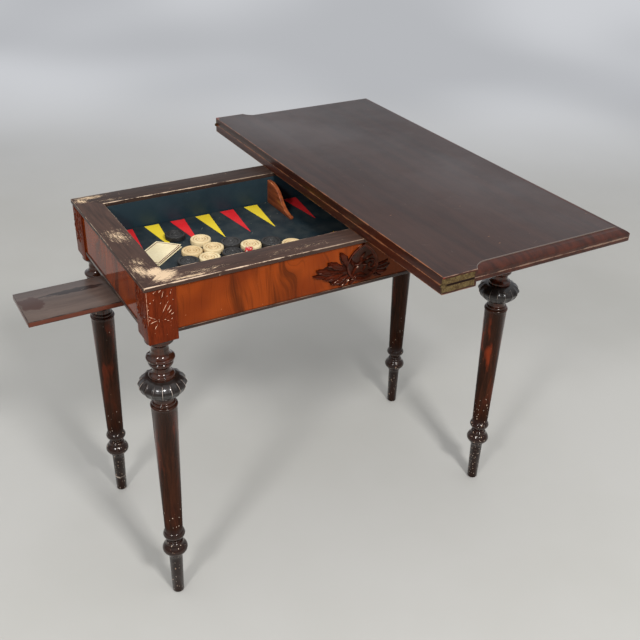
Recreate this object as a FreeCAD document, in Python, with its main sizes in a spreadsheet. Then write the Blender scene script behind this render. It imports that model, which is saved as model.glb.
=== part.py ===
import FreeCAD, Part
import Sketcher
import os
import re

# Games table: a frame on four turned legs, a backgammon well under a mitred rim, a two-leaf top that turns
# on a pivot and folds on brass end hinges, and a pull-out slide at each end.
# X runs along the frame, Y from its front to its back, Z up. Sizes are in millimetres.

# Driving dimensions
SIZES = (
    ("rim_length", 822, "length of the rim, along X"),
    ("rim_depth", 414, "depth of the rim, along Y"),
    ("rim_height", 728, "top of the rim above the floor"),
    ("rim_thickness", 8, "thickness of the rim boards"),
    ("rim_board", 50, "width of the rim boards"),
    ("rail_setback", 5, "from the rim's edge in to the rail's face"),
    ("rail_thickness", 20, "thickness of the rails"),
    ("rail_height", 84, "height of the rails"),
    ("bead_height", 6, "height of the strip under the rails"),
    ("bead_nose", 2, "how far the strip stands out from the rail"),
    ("tenon_length", 24, "length of the rails' tenons"),
    ("tenon_thickness", 9, "thickness of the rails' tenons"),
    ("tenon_shoulder", 14, "shoulder above and below a tenon"),
    ("post_size", 54, "side of the square posts"),
    ("post_setback", 2, "from the rim's edge in to the post's face"),
    ("post_drop", 20, "how far the posts reach below the rails"),
    ("cap_radius", 26, "disc under the post, radius"),
    ("cap_height", 10, "disc under the post, height"),
    ("cap_swell", 2.5, "disc under the post, roundness of its edge"),
    ("cap_cove", 20, "hollow under the disc, height"),
    ("cove_rise", 2, "depth of the hollows between the discs"),
    ("neck_radius", 16, "necks of the turning, radius"),
    ("collar_radius", 25, "collar, radius"),
    ("collar_flare", 11, "collar, height of its hollow top"),
    ("collar_edge", 12, "collar, height of its round edge"),
    ("collar_swell", 2, "collar, roundness of its edge"),
    ("collar_taper", 12, "collar, height of its underside"),
    ("cup_radius", 22.5, "cup over the bulb, radius"),
    ("cup_flare", 12, "cup over the bulb, height of its hollow"),
    ("cup_edge", 6, "cup over the bulb, height of its edge"),
    ("cup_swell", 1.2, "cup over the bulb, roundness of its edge"),
    ("bulb_radius", 42, "bulb, radius beside its nose"),
    ("bulb_crown", 11, "bulb, height of its upper side"),
    ("bulb_nose", 13, "bulb, height of its round nose"),
    ("bulb_base", 23, "bulb, height of its underside"),
    ("bulb_swell", 2.5, "bulb, roundness"),
    ("throat_radius", 19.5, "throat under the bulb, radius"),
    ("throat_height", 5, "throat under the bulb, height"),
    ("ring_radius", 22.5, "upper ring of the shaft, radius"),
    ("ring_height", 6, "rings of the shaft, height"),
    ("ring_swell", 1.5, "rings of the shaft, roundness"),
    ("shaft_radius", 24.6, "shaft, radius at its top"),
    ("shaft_foot_radius", 17.5, "shaft, radius at its bottom"),
    ("ankle_height", 22, "ring under the shaft, height"),
    ("ankle_swell", 6, "ring under the shaft, roundness"),
    ("ankle_radius", 12.5, "neck under that ring, radius"),
    ("ball_height", 36, "ball, height"),
    ("ball_swell", 12.8, "ball, roundness"),
    ("foot_length", 104, "foot, length"),
    ("foot_top_radius", 13.8, "foot, radius at its top"),
    ("foot_radius", 11.5, "foot, radius at its bottom"),
    ("foot_bevel", 2.5, "bevel round the foot's bottom"),
    ("well_depth", 64, "from the rim's top down to the floor of the well"),
    ("floor_thickness", 8, "thickness of the floor of the well"),
    ("lining_thickness", 10, "thickness of the lining boards"),
    ("cleat_size", 14, "side of the cleats under the floor"),
    ("point_pitch", 55.4, "from one point of the board to the next"),
    ("point_start", 47, "from the middle of the board to the first point"),
    ("point_base", 30.6, "width of a point at its base"),
    ("point_tip", 0.8, "width of a point at its tip"),
    ("point_length", 116, "length of a point"),
    ("point_margin", 4, "from a point's base to the lining"),
    ("point_thickness", 0.3, "thickness of the points' coat"),
    ("divider_thickness", 8, "thickness of the dividers"),
    ("divider_length", 104, "length of the dividers along the floor"),
    ("divider_height", 50, "height of the dividers at the lining"),
    ("divider_flat", 12, "flat top of the dividers"),
    ("divider_toe", 5, "height of the dividers at their toe"),
    ("divider_curl", 6, "depth of the dividers' S-curve"),
    ("carving_reach", 88, "carving, from its middle to its tip"),
    ("carving_height", 76, "carving, height"),
    ("carving_depth", 6, "carving, how far it stands out"),
    ("carving_base", 4, "carving, height of its foot above the rail's edge"),
    ("shield_reach", 33, "carving, half width of its shield"),
    ("shield_drop", 38, "carving, from the shield's point to its widest place"),
    ("spray_drop", 48, "carving, from the shield's point to the tip of the spray"),
    ("spray_swell", 7, "carving, roundness of its leaves"),
    ("spray_foot", 46, "carving, from its middle to the foot of the spray"),
    ("pivot_x", 108, "pivot of the top, from the middle of the frame along X"),
    ("pivot_y", 112, "pivot of the top, from the middle of the frame along Y"),
    ("pivot_rail_width", 64, "width of the pivot rail"),
    ("pivot_rail_thickness", 24, "thickness of the pivot rail"),
    ("bolt_radius", 6, "pivot bolt, radius"),
    ("bolt_play", 0.08, "play of the bolt in the pivot rail"),
    ("bolt_end", 4, "pivot bolt, length below its nut"),
    ("flange_radius", 20, "pivot bolt's flange, radius"),
    ("flange_thickness", 3, "pivot bolt's flange, thickness"),
    ("flange_screw_ring", 13, "from the bolt's axis to the flange's screws"),
    ("washer_radius", 15, "washer, radius"),
    ("washer_thickness", 2.5, "washer, thickness"),
    ("nut_radius", 11, "nut, radius over its corners"),
    ("nut_height", 9, "nut, height"),
    ("stop_ring", 26, "from the pivot to the stop pin"),
    ("stop_radius", 3, "stop pin, radius"),
    ("stop_seat", 16, "stop pin, length in the pivot rail"),
    ("stop_reach", 5, "stop pin, length above the pivot rail"),
    ("clearance", 0.3, "between pieces that move past each other"),
    ("leaf_length", 900, "leaves, length along the hinge edge"),
    ("leaf_width", 420, "leaves, width"),
    ("leaf_thickness", 16, "leaves, thickness"),
    ("leaf_gap", 0.4, "between the folded leaves"),
    ("moulding_width", 20, "moulded edge, width"),
    ("moulding_step", 1.6, "moulded edge, small step at its inner side"),
    ("moulding_depth", 9, "moulded edge, depth at the leaf's edge"),
    ("moulding_swell", 2.4, "moulded edge, roundness"),
    ("moulding_stop", 70, "from the hinge edge to the start of the moulding"),
    ("moulding_sweep", 28, "moulded edge, length of its rounded start"),
    ("moulding_bow", 4.5, "moulded edge, roundness of its start"),
    ("plate_length", 66, "hinge plates, length"),
    ("plate_height", 13, "hinge plates, height"),
    ("plate_thickness", 3, "hinge plates, thickness"),
    ("lug_radius", 3.5, "hinge lugs, radius"),
    ("lug_gap", 0.1, "between the two lugs of a hinge"),
    ("hinge_pin_radius", 1.5, "hinge pins, radius"),
    ("hinge_pin_play", 0.05, "play of the pin in the upper plate"),
    ("screw_head_radius", 3, "screws, radius of the head"),
    ("screw_radius", 1.5, "screws, radius"),
    ("screw_head_height", 2, "screws, height of the head"),
    ("screw_length", 11, "screws, length"),
    ("screw_start", 20, "from the hinge edge to the first screw"),
    ("screw_pitch", 18, "from one hinge screw to the next"),
    ("slide_length", 300, "slides, length"),
    ("slide_width", 113, "slides, width"),
    ("slide_thickness", 10, "slides, thickness"),
    ("slide_drop", 2, "from the bead's underside to the slide's top"),
    ("slide_out", 165, "how far the left slide stands out"),
    ("slide_travel", 190, "how far a slide runs out"),
    ("slide_stop_length", 20, "slide's stop block, length"),
    ("slide_stop_width", 60, "slide's stop block, width"),
    ("slide_stop_height", 12, "slide's stop block, height"),
    ("runner_width", 18, "runners, width"),
    ("runner_lip", 6, "runners, height of the lip under the groove"),
    ("groove_depth", 6, "runners, depth of the groove"),
    ("backstop_length", 16, "blocks behind the slides, length"),
    ("draught_radius", 20, "draughtsmen, radius"),
    ("draught_thickness", 10, "draughtsmen, thickness"),
    ("die_size", 14, "die, side"),
    ("card_length", 88, "card, length"),
    ("card_width", 57, "card, width"),
    ("card_thickness", 0.6, "card, thickness"),
)

# Where the loose things lie in the well, from its middle along X and Y
CREAM_DRAUGHTS = ((-212, 33), (-246, -6), (-204, -10), (-227, -46), (-134, -31), (-61, -62))
BLACK_DRAUGHTS = ((-248, 76), (-269, -43), (-164, -3), (-180, -47), (-93, -36))
DIE_SPOT = (-150, -55)
DIE_TURN = 60
CARD_SPOT = (-303, 26)
CARD_TURN = 40

POINTS_A_SIDE = 6
HINGE_SCREWS = 3
FLANGE_SCREWS = 4
QUARTER_TURN = 90
NUT_SIDES = 6
SIDEWAYS = FreeCAD.Vector(1, 0, 0)
UPWARD = FreeCAD.Vector(0, 0, 1)

# How a sketch numbers its own axes and the two ends of an edge
LEVEL_AXIS_INDEX = -1
UPRIGHT_AXIS_INDEX = -2
START_INDEX = 1
END_INDEX = 2

doc = FreeCAD.newDocument("games_table")
sheet = doc.addObject("Spreadsheet::Sheet", "Dims")
for row, (alias, size, meaning) in enumerate(SIZES, start=1):
    sheet.set(f"A{row}", meaning)
    sheet.set(f"B{row}", str(size))
    sheet.setAlias(f"B{row}", alias)
doc.recompute()

ALIASES = re.compile(r"\b(" + "|".join(alias for alias, size, meaning in SIZES) + r")\b")

# Heights
RAIL_TOP = "(rim_height - rim_thickness)"
RAIL_BOTTOM = f"({RAIL_TOP} - rail_height)"
BEAD_BOTTOM = f"({RAIL_BOTTOM} - bead_height)"
POST_BOTTOM = f"({RAIL_BOTTOM} - post_drop)"
FLOOR_TOP = "(rim_height - well_depth)"
FLOOR_BOTTOM = f"({FLOOR_TOP} - floor_thickness)"
COAT_TOP = f"({FLOOR_TOP} + point_thickness)"
SLIDE_TOP = f"({BEAD_BOTTOM} - slide_drop)"
SLIDE_BOTTOM = f"({SLIDE_TOP} - slide_thickness)"
RUNNER_BOTTOM = f"({SLIDE_BOTTOM} - clearance - runner_lip)"
LEAF_BOTTOM = "(rim_height + clearance)"
LEAF_FOLD = f"({LEAF_BOTTOM} + leaf_thickness + leaf_gap / 2)"
LOWER_FACE = f"({LEAF_FOLD} - leaf_gap / 2)"
UPPER_FACE = f"({LEAF_FOLD} + leaf_gap / 2)"
LEAF_TOP = f"({UPPER_FACE} + leaf_thickness)"
PIVOT_RAIL_BOTTOM = "(rim_height - pivot_rail_thickness)"
WASHER_TOP = f"({PIVOT_RAIL_BOTTOM} - clearance)"
NUT_TOP = f"({WASHER_TOP} - washer_thickness)"
NUT_BOTTOM = f"({NUT_TOP} - nut_height)"

# Half lengths along X and half depths along Y, from the middle of the frame
RIM_X = "(rim_length / 2)"
RIM_Y = "(rim_depth / 2)"
WELL_X = f"({RIM_X} - rim_board)"
WELL_Y = f"({RIM_Y} - rim_board)"
LINING_X = f"({WELL_X} + lining_thickness)"
LINING_Y = f"({WELL_Y} + lining_thickness)"
RAIL_X = f"({RIM_X} - rail_setback)"
RAIL_Y = f"({RIM_Y} - rail_setback)"
RAIL_INNER_X = f"({RAIL_X} - rail_thickness)"
RAIL_INNER_Y = f"({RAIL_Y} - rail_thickness)"
TENON_INSET = "((rail_thickness - tenon_thickness) / 2)"
BEAD_X = f"({RAIL_X} + bead_nose)"
BEAD_Y = f"({RAIL_Y} + bead_nose)"
LEG_X = f"({RIM_X} - post_setback - post_size / 2)"
LEG_Y = f"({RIM_Y} - post_setback - post_size / 2)"
POST_INNER_X = f"({LEG_X} - post_size / 2)"
POST_INNER_Y = f"({LEG_Y} - post_size / 2)"
CLEAT_X = f"({RAIL_INNER_X} - cleat_size)"
CLEAT_Y = f"({RAIL_INNER_Y} - cleat_size)"

# The top: closed, it is centred on the frame with its hinge edge at the back. A quarter turn about the
# pivot brings its middle here, with the hinge edge facing -X.
LEAF_X = "(pivot_x + pivot_y)"
LEAF_Y = "(pivot_y - pivot_x)"
HINGE_EDGE = f"({LEAF_X} - leaf_width / 2)"
FREE_EDGE = f"({LEAF_X} + leaf_width / 2)"
NEAR_END = f"({LEAF_Y} - leaf_length / 2)"
FAR_END = f"({LEAF_Y} + leaf_length / 2)"
HINGE_AXIS = f"({HINGE_EDGE} - leaf_gap / 2)"

# The origin is on the floor, under the middle of the table as it stands with the left slide out
MIDDLE_X = f"(({FREE_EDGE} - {BEAD_X} - slide_out) / 2)"
MIDDLE_Y = LEAF_Y

nodes = []


def bound(text):
    """An expression on the sheet's cells."""
    return ALIASES.sub(r"Dims.\1", text)


def value(text):
    """What an expression comes to now."""
    return float(sheet.evalExpression(bound(text)))


def set_place(thing, x, y, z):
    """Ties an object's place to the sheet."""
    for axis, text in zip("xyz", (x, y, z)):
        thing.setExpression(f"Placement.Base.{axis}", bound(text))


def node(label, thing, x="0", y="0", z="0"):
    """Names a finished sub-part and moves it from the middle of the frame to the origin's frame."""
    thing.Label = label
    set_place(thing, f"{x} - {MIDDLE_X}", f"{y} - {MIDDLE_Y}", z)
    nodes.append(thing)
    return thing


def box(name, x_span, y_span, z_span):
    """A box between two ends on each axis."""
    solid = doc.addObject("Part::Box", name)
    for side, (low, high) in zip(("Length", "Width", "Height"), (x_span, y_span, z_span)):
        solid.setExpression(side, bound(f"{high} - {low}"))
    set_place(solid, x_span[0], y_span[0], z_span[0])
    return solid


def board(label, x_span, y_span, z_span):
    """A sub-part that is a plain board between two ends on each axis."""
    return node(label, box(label, x_span, y_span, z_span), x_span[0], y_span[0], z_span[0])


def rod(name, radius, height, x, y, z, pitch=0):
    """A cylinder that stands on its place. A pitch of a quarter turn lays it along -Y, or back along +Y."""
    solid = doc.addObject("Part::Cylinder", name)
    solid.setExpression("Radius", bound(radius))
    solid.setExpression("Height", bound(height))
    solid.Placement.Rotation = FreeCAD.Rotation(SIDEWAYS, pitch)
    set_place(solid, x, y, z)
    return solid


def screw(name, x, y, z, pitch=0):
    """A countersunk screw with its head at its place, pointing as a rod does."""
    head = doc.addObject("Part::Cone", f"{name}_head")
    head.setExpression("Radius1", bound("screw_head_radius"))
    head.setExpression("Radius2", bound("screw_radius"))
    head.setExpression("Height", bound("screw_head_height"))
    head.Placement.Rotation = FreeCAD.Rotation(SIDEWAYS, pitch)
    set_place(head, x, y, z)
    shank = rod(f"{name}_shank", "screw_radius", "screw_length", x, y, z, pitch)
    return fuse(name, head, shank)


def fuse(name, *solids):
    joined = doc.addObject("Part::MultiFuse", name)
    joined.Shapes = list(solids)
    return joined


def cut(name, base, *tools):
    carved = doc.addObject("Part::Cut", name)
    carved.Base = base
    carved.Tool = tools[0] if len(tools) == 1 else fuse(f"{name}_tools", *tools)
    return carved


def group(name, *solids):
    """Separate solids that share one node."""
    together = doc.addObject("Part::Compound", name)
    together.Links = list(solids)
    return together


def mirrored(span):
    """The same span on the other side of the middle."""
    low, high = span
    return (f"-{high}", f"-{low}")


def on_side(side, span):
    return span if side > 0 else mirrored(span)


def both_ways(half):
    return (f"-{half}", half)


def start_sketch(body, role, name, offset="0"):
    """A sketch on one of the body's own planes, moved along that plane's normal."""
    sketch = body.newObject("Sketcher::SketchObject", name)
    plane = next(feature for feature in body.Origin.OriginFeatures if feature.Role == role)
    sketch.AttachmentSupport = [(plane, "")]
    sketch.MapMode = "FlatFace"
    sketch.setExpression("AttachmentOffset.Base.z", bound(offset))
    return sketch


def pin_corner(sketch, edge, end, x, y):
    """Ties a corner to its place, or to an axis where it lies on one."""
    for kind, axis, text in (("DistanceX", UPRIGHT_AXIS_INDEX, x), ("DistanceY", LEVEL_AXIS_INDEX, y)):
        if text == "0":
            sketch.addConstraint(Sketcher.Constraint("PointOnObject", edge, end, axis))
            continue
        distance = Sketcher.Constraint(kind, LEVEL_AXIS_INDEX, START_INDEX, edge, end, value(text))
        place = sketch.addConstraint(distance)
        sketch.setExpression(f"Constraints[{place}]", bound(text))


def closed_outline(sketch, corners):
    """Edges from corner to corner. A corner (x, y, rise) starts an arc that stands out to the right of its
    way by rise, or to the left where rise starts with a minus sign."""
    spots = [FreeCAD.Vector(value(corner[0]), value(corner[1]), 0) for corner in corners]
    ends = []
    for corner, here, there in zip(corners, spots, spots[1:] + spots[:1]):
        if len(corner) == 2:
            edge = sketch.addGeometry(Part.LineSegment(here, there))
        else:
            rise = corner[2].lstrip("-")
            across = there - here
            out = FreeCAD.Vector(across.y, -across.x, 0).normalize()
            out = -out if corner[2].startswith("-") else out
            crown = (here + there) / 2 + out * value(rise)
            edge = sketch.addGeometry(Part.Arc(here, crown, there))
            following = corners[(corners.index(corner) + 1) % len(corners)]
            chord = f"(({following[0]} - {corner[0]})^2 + ({following[1]} - {corner[1]})^2)"
            radius = f"(({chord} / 4 + ({rise})^2) / (2 * ({rise})))"
            bend = sketch.addConstraint(Sketcher.Constraint("Radius", edge, value(radius)))
            sketch.setExpression(f"Constraints[{bend}]", bound(radius))
        first = sketch.getPoint(edge, START_INDEX).distanceToPoint(here)
        second = sketch.getPoint(edge, END_INDEX).distanceToPoint(here)
        ends.append((edge, START_INDEX, END_INDEX) if first < second else (edge, END_INDEX, START_INDEX))
    for (edge, start, end), (next_edge, next_start, next_end) in zip(ends, ends[1:] + ends[:1]):
        sketch.addConstraint(Sketcher.Constraint("Coincident", edge, end, next_edge, next_start))
    for (edge, start, end), corner in zip(ends, corners):
        pin_corner(sketch, edge, start, corner[0], corner[1])


def rectangle(sketch, x_span, y_span):
    corners = [(x_span[0], y_span[0]), (x_span[1], y_span[0]), (x_span[1], y_span[1]), (x_span[0], y_span[1])]
    closed_outline(sketch, corners)


def pad(body, name, sketch, length):
    """Thickens a sketch along its plane's normal."""
    feature = body.newObject("PartDesign::Pad", name)
    feature.Profile = sketch
    feature.setExpression("Length", bound(length))
    return feature


def pocket(body, name, sketch, length):
    """Cuts a sketch into the body along its plane's normal."""
    feature = body.newObject("PartDesign::Pocket", name)
    feature.Profile = sketch
    feature.Reversed = True
    feature.setExpression("Length", bound(length))
    return feature


def turned_profile():
    """The leg's half outline from the post down to the foot, as (radius, height, roundness) corners."""
    corners = [("0", POST_BOTTOM)]
    level = POST_BOTTOM
    steps = (
        ("cap_radius", "0", "-cap_swell"),
        ("(cap_radius - cap_swell)", "cap_height", "cove_rise"),
        ("neck_radius", "cap_cove", "cove_rise"),
        ("collar_radius", "collar_flare", "-collar_swell"),
        ("(collar_radius - collar_swell)", "collar_edge", None),
        ("neck_radius", "collar_taper", "cove_rise"),
        ("cup_radius", "cup_flare", "-cup_swell"),
        ("cup_radius", "cup_edge", "-bulb_swell"),
        ("bulb_radius", "bulb_crown", "-bulb_swell"),
        ("bulb_radius", "bulb_nose", "-bulb_swell"),
        ("throat_radius", "bulb_base", None),
        ("throat_radius", "throat_height", "-ring_swell"),
        ("ring_radius", "ring_height", "-ring_swell"),
        ("shaft_radius", "ring_height", None),
    )
    for radius, drop, roundness in steps:
        level = level if drop == "0" else f"({level} - {drop})"
        corners.append((radius, level, roundness) if roundness else (radius, level))
    corners += [
        ("shaft_foot_radius", "(foot_length + ball_height + ankle_height)", "-ankle_swell"),
        ("ankle_radius", "(foot_length + ball_height)", "-ball_swell"),
        ("foot_top_radius", "foot_length"),
        ("foot_radius", "foot_bevel"),
        ("(foot_radius - foot_bevel)", "0"),
        ("0", "0"),
    ]
    return corners


def make_leg(label, x, y, turn):
    """A turned leg with its post. Before it is turned, the post's inner corner points to -X and -Y."""
    half = "(post_size / 2)"
    body = doc.addObject("PartDesign::Body", label)
    profile = start_sketch(body, "XZ_Plane", f"{label}_profile")
    closed_outline(profile, turned_profile())
    turning = body.newObject("PartDesign::Revolution", f"{label}_turning")
    turning.Profile = profile
    turning.ReferenceAxis = (profile, ["V_Axis"])
    square = start_sketch(body, "XY_Plane", f"{label}_square", POST_BOTTOM)
    rectangle(square, both_ways(half), both_ways(half))
    pad(body, f"{label}_post", square, f"{RAIL_TOP} - {POST_BOTTOM}")

    # The inner corner makes room for the lining, above the floor of the well
    corner = start_sketch(body, "XY_Plane", f"{label}_corner", FLOOR_TOP)
    corner_x = (f"-{half}", f"({LINING_X} - {LEG_X})")
    corner_y = (f"-{half}", f"({LINING_Y} - {LEG_Y})")
    rectangle(corner, corner_x, corner_y)
    pocket(body, f"{label}_rebate", corner, f"{RAIL_TOP} - {FLOOR_TOP}")

    # Mortises for the two rails that meet in this post
    mortises = start_sketch(body, "XY_Plane", f"{label}_mortises", f"{RAIL_BOTTOM} + tenon_shoulder")
    rail_line = f"({half} + post_setback - rail_setback - rail_thickness / 2)"
    along = (f"-{half}", f"(tenon_length - {half})")
    across = (f"({rail_line} - tenon_thickness / 2)", f"({rail_line} + tenon_thickness / 2)")
    rectangle(mortises, along, across)
    rectangle(mortises, across, along)
    pocket(body, f"{label}_mortising", mortises, "rail_height - 2 * tenon_shoulder")
    body.Placement.Rotation = FreeCAD.Rotation(UPWARD, turn)
    return node(label, body, x, y)


def make_rails():
    """Rails with tenons, bead strips under them and cleats inside them, on each of the four sides."""
    rail_z = (RAIL_BOTTOM, RAIL_TOP)
    tenon_z = (f"({RAIL_BOTTOM} + tenon_shoulder)", f"({RAIL_TOP} - tenon_shoulder)")
    bead_z = (BEAD_BOTTOM, RAIL_BOTTOM)
    cleat_z = (f"({FLOOR_BOTTOM} - cleat_size)", FLOOR_BOTTOM)
    between_x = both_ways(POST_INNER_X)
    between_y = both_ways(POST_INNER_Y)
    for name, side in (("front", -1), ("back", 1)):
        plank = box(f"{name}_plank", between_x, on_side(side, (RAIL_INNER_Y, RAIL_Y)), rail_z)
        tenon_y = on_side(side, (f"({RAIL_INNER_Y} + {TENON_INSET})", f"({RAIL_Y} - {TENON_INSET})"))
        tenon = box(f"{name}_tenon", both_ways(f"({POST_INNER_X} + tenon_length)"), tenon_y, tenon_z)
        node(f"{name}_rail", fuse(f"{name}_rail", plank, tenon))
        board(f"{name}_bead", between_x, on_side(side, (RAIL_INNER_Y, BEAD_Y)), bead_z)
        board(f"{name}_cleat", between_x, on_side(side, (CLEAT_Y, RAIL_INNER_Y)), cleat_z)
    for name, side in (("left", -1), ("right", 1)):
        plank = box(f"{name}_plank", on_side(side, (RAIL_INNER_X, RAIL_X)), between_y, rail_z)
        tenon_x = on_side(side, (f"({RAIL_INNER_X} + {TENON_INSET})", f"({RAIL_X} - {TENON_INSET})"))
        tenon = box(f"{name}_tenon", tenon_x, both_ways(f"({POST_INNER_Y} + tenon_length)"), tenon_z)
        node(f"{name}_rail", fuse(f"{name}_rail", plank, tenon))
        board(f"{name}_bead", on_side(side, (RAIL_INNER_X, BEAD_X)), between_y, bead_z)
        board(f"{name}_cleat", on_side(side, (CLEAT_X, RAIL_INNER_X)), between_y, cleat_z)


def make_rim(label, outer, inner):
    """A rim board with mitred ends, between two outer and two inner corners."""
    body = doc.addObject("PartDesign::Body", label)
    plan = start_sketch(body, "XY_Plane", f"{label}_plan", RAIL_TOP)
    closed_outline(plan, [outer[0], outer[1], inner[1], inner[0]])
    pad(body, f"{label}_board", plan, "rim_thickness")
    node(label, body)


def make_rims():
    outer = [(f"-{RIM_X}", f"-{RIM_Y}"), (RIM_X, f"-{RIM_Y}"), (RIM_X, RIM_Y), (f"-{RIM_X}", RIM_Y)]
    inner = [(f"-{WELL_X}", f"-{WELL_Y}"), (WELL_X, f"-{WELL_Y}"), (WELL_X, WELL_Y), (f"-{WELL_X}", WELL_Y)]
    for place, name in enumerate(("front", "right", "back", "left")):
        following = (place + 1) % len(outer)
        make_rim(f"{name}_rim", (outer[place], outer[following]), (inner[place], inner[following]))


def make_well():
    """The floor, notched round the posts, and the lining boards that stand on it."""
    floor_z = (FLOOR_BOTTOM, FLOOR_TOP)
    panel = box("floor_panel", both_ways(RAIL_INNER_X), both_ways(RAIL_INNER_Y), floor_z)
    notches = []
    for side_x in (-1, 1):
        for side_y in (-1, 1):
            notch_x = on_side(side_x, (POST_INNER_X, RAIL_INNER_X))
            notch_y = on_side(side_y, (POST_INNER_Y, RAIL_INNER_Y))
            notches.append(box(f"floor_notch_{len(notches)}", notch_x, notch_y, floor_z))
    node("well_floor", cut("well_floor", panel, *notches))

    wall_z = (FLOOR_TOP, RAIL_TOP)
    pivot_x = ("(pivot_x - pivot_rail_width / 2)", "(pivot_x + pivot_rail_width / 2)")
    for name, side in (("front", -1), ("back", 1)):
        wall_y = on_side(side, (WELL_Y, LINING_Y))
        wall = box(f"{name}_wall", both_ways(LINING_X), wall_y, wall_z)
        passage = box(f"{name}_passage", pivot_x, wall_y, (PIVOT_RAIL_BOTTOM, RAIL_TOP))
        node(f"{name}_lining", cut(f"{name}_lining", wall, passage))
    for name, side in (("left", -1), ("right", 1)):
        board(f"{name}_lining", on_side(side, (WELL_X, LINING_X)), both_ways(WELL_Y), wall_z)


def make_point(name, x, side):
    """One long triangle of the board, with its base at the lining on the given side."""
    point = doc.addObject("Part::Wedge", name)
    for edge, text in (
        ("Xmin", "-point_base / 2"),
        ("Xmax", "point_base / 2"),
        ("X2min", "-point_tip / 2"),
        ("X2max", "point_tip / 2"),
        ("Ymin", "0"),
        ("Ymax", "point_length"),
        ("Zmin", "0"),
        ("Zmax", "point_thickness"),
        ("Z2min", "0"),
        ("Z2max", "point_thickness"),
    ):
        point.setExpression(edge, bound(text))
    base = f"({WELL_Y} - point_margin)"
    turn = 2 * QUARTER_TURN if side > 0 else 0
    point.Placement.Rotation = FreeCAD.Rotation(UPWARD, turn)
    set_place(point, x, base if side > 0 else f"-{base}", FLOOR_TOP)
    return point


def make_points():
    """Twenty-four points. Their colours alternate along each side and differ across the board."""
    colours = {"red": [], "yellow": []}
    for side in (-1, 1):
        for half in (-1, 1):
            for place in range(POINTS_A_SIDE):
                x = f"{half} * (point_start + {place} * point_pitch)"
                is_red = (place + (half < 0) + (side < 0)) % 2 == 0
                colour = "red" if is_red else "yellow"
                colours[colour].append(make_point(f"{colour}_point_{len(colours[colour])}", x, side))
    for colour, points in colours.items():
        node(f"{colour}_points", group(f"{colour}_points", *points))


def make_divider(label, side):
    """An S-curved bracket on the floor, against the front or back lining."""
    body = doc.addObject("PartDesign::Body", label)
    outline = start_sketch(body, "YZ_Plane", f"{label}_outline", "-divider_thickness / 2")
    toe = f"(divider_length - {WELL_Y})"
    shoulder = f"(divider_flat - {WELL_Y})"
    middle = f"((divider_flat + divider_length) / 2 - {WELL_Y})"
    top = f"({FLOOR_TOP} + divider_height)"
    toe_top = f"({FLOOR_TOP} + divider_toe)"
    waist = f"({FLOOR_TOP} + (divider_height + divider_toe) / 2)"
    closed_outline(outline, [
        (f"-{WELL_Y}", FLOOR_TOP),
        (toe, FLOOR_TOP),
        (toe, toe_top, "-divider_curl"),
        (middle, waist, "divider_curl"),
        (shoulder, top),
        (f"-{WELL_Y}", top),
    ])
    pad(body, f"{label}_board", outline, "divider_thickness")
    if side > 0:
        body.Placement.Rotation = FreeCAD.Rotation(UPWARD, 2 * QUARTER_TURN)
    node(label, body)


def make_carving():
    """The applied carving: a pointed shield between two sprays of leaves."""
    body = doc.addObject("PartDesign::Body", "front_carving")
    outline = start_sketch(body, "XZ_Plane", "front_carving_outline", RAIL_Y)
    foot = f"({RAIL_BOTTOM} + carving_base)"
    crest = f"({foot} + carving_height)"
    right = [
        ("shield_reach", f"({crest} - shield_drop)", "spray_swell"),
        ("carving_reach", f"({crest} - spray_drop)", "spray_swell"),
        ("spray_foot", foot, "-spray_swell"),
    ]
    left = [
        ("-spray_foot", foot, "spray_swell"),
        ("-carving_reach", f"({crest} - spray_drop)", "spray_swell"),
        ("-shield_reach", f"({crest} - shield_drop)", "spray_swell"),
    ]
    clockwise = [("0", crest, "spray_swell")] + right + left
    closed_outline(outline, clockwise_to_left(clockwise))
    pad(body, "front_carving_relief", outline, "carving_depth")
    node("front_carving", body)


def clockwise_to_left(corners):
    """On a clockwise way the outside is on the left, so each roundness changes its side."""
    turned = []
    for x, y, rise in corners:
        turned.append((x, y, rise[1:] if rise.startswith("-") else f"-{rise}"))
    return turned


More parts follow.
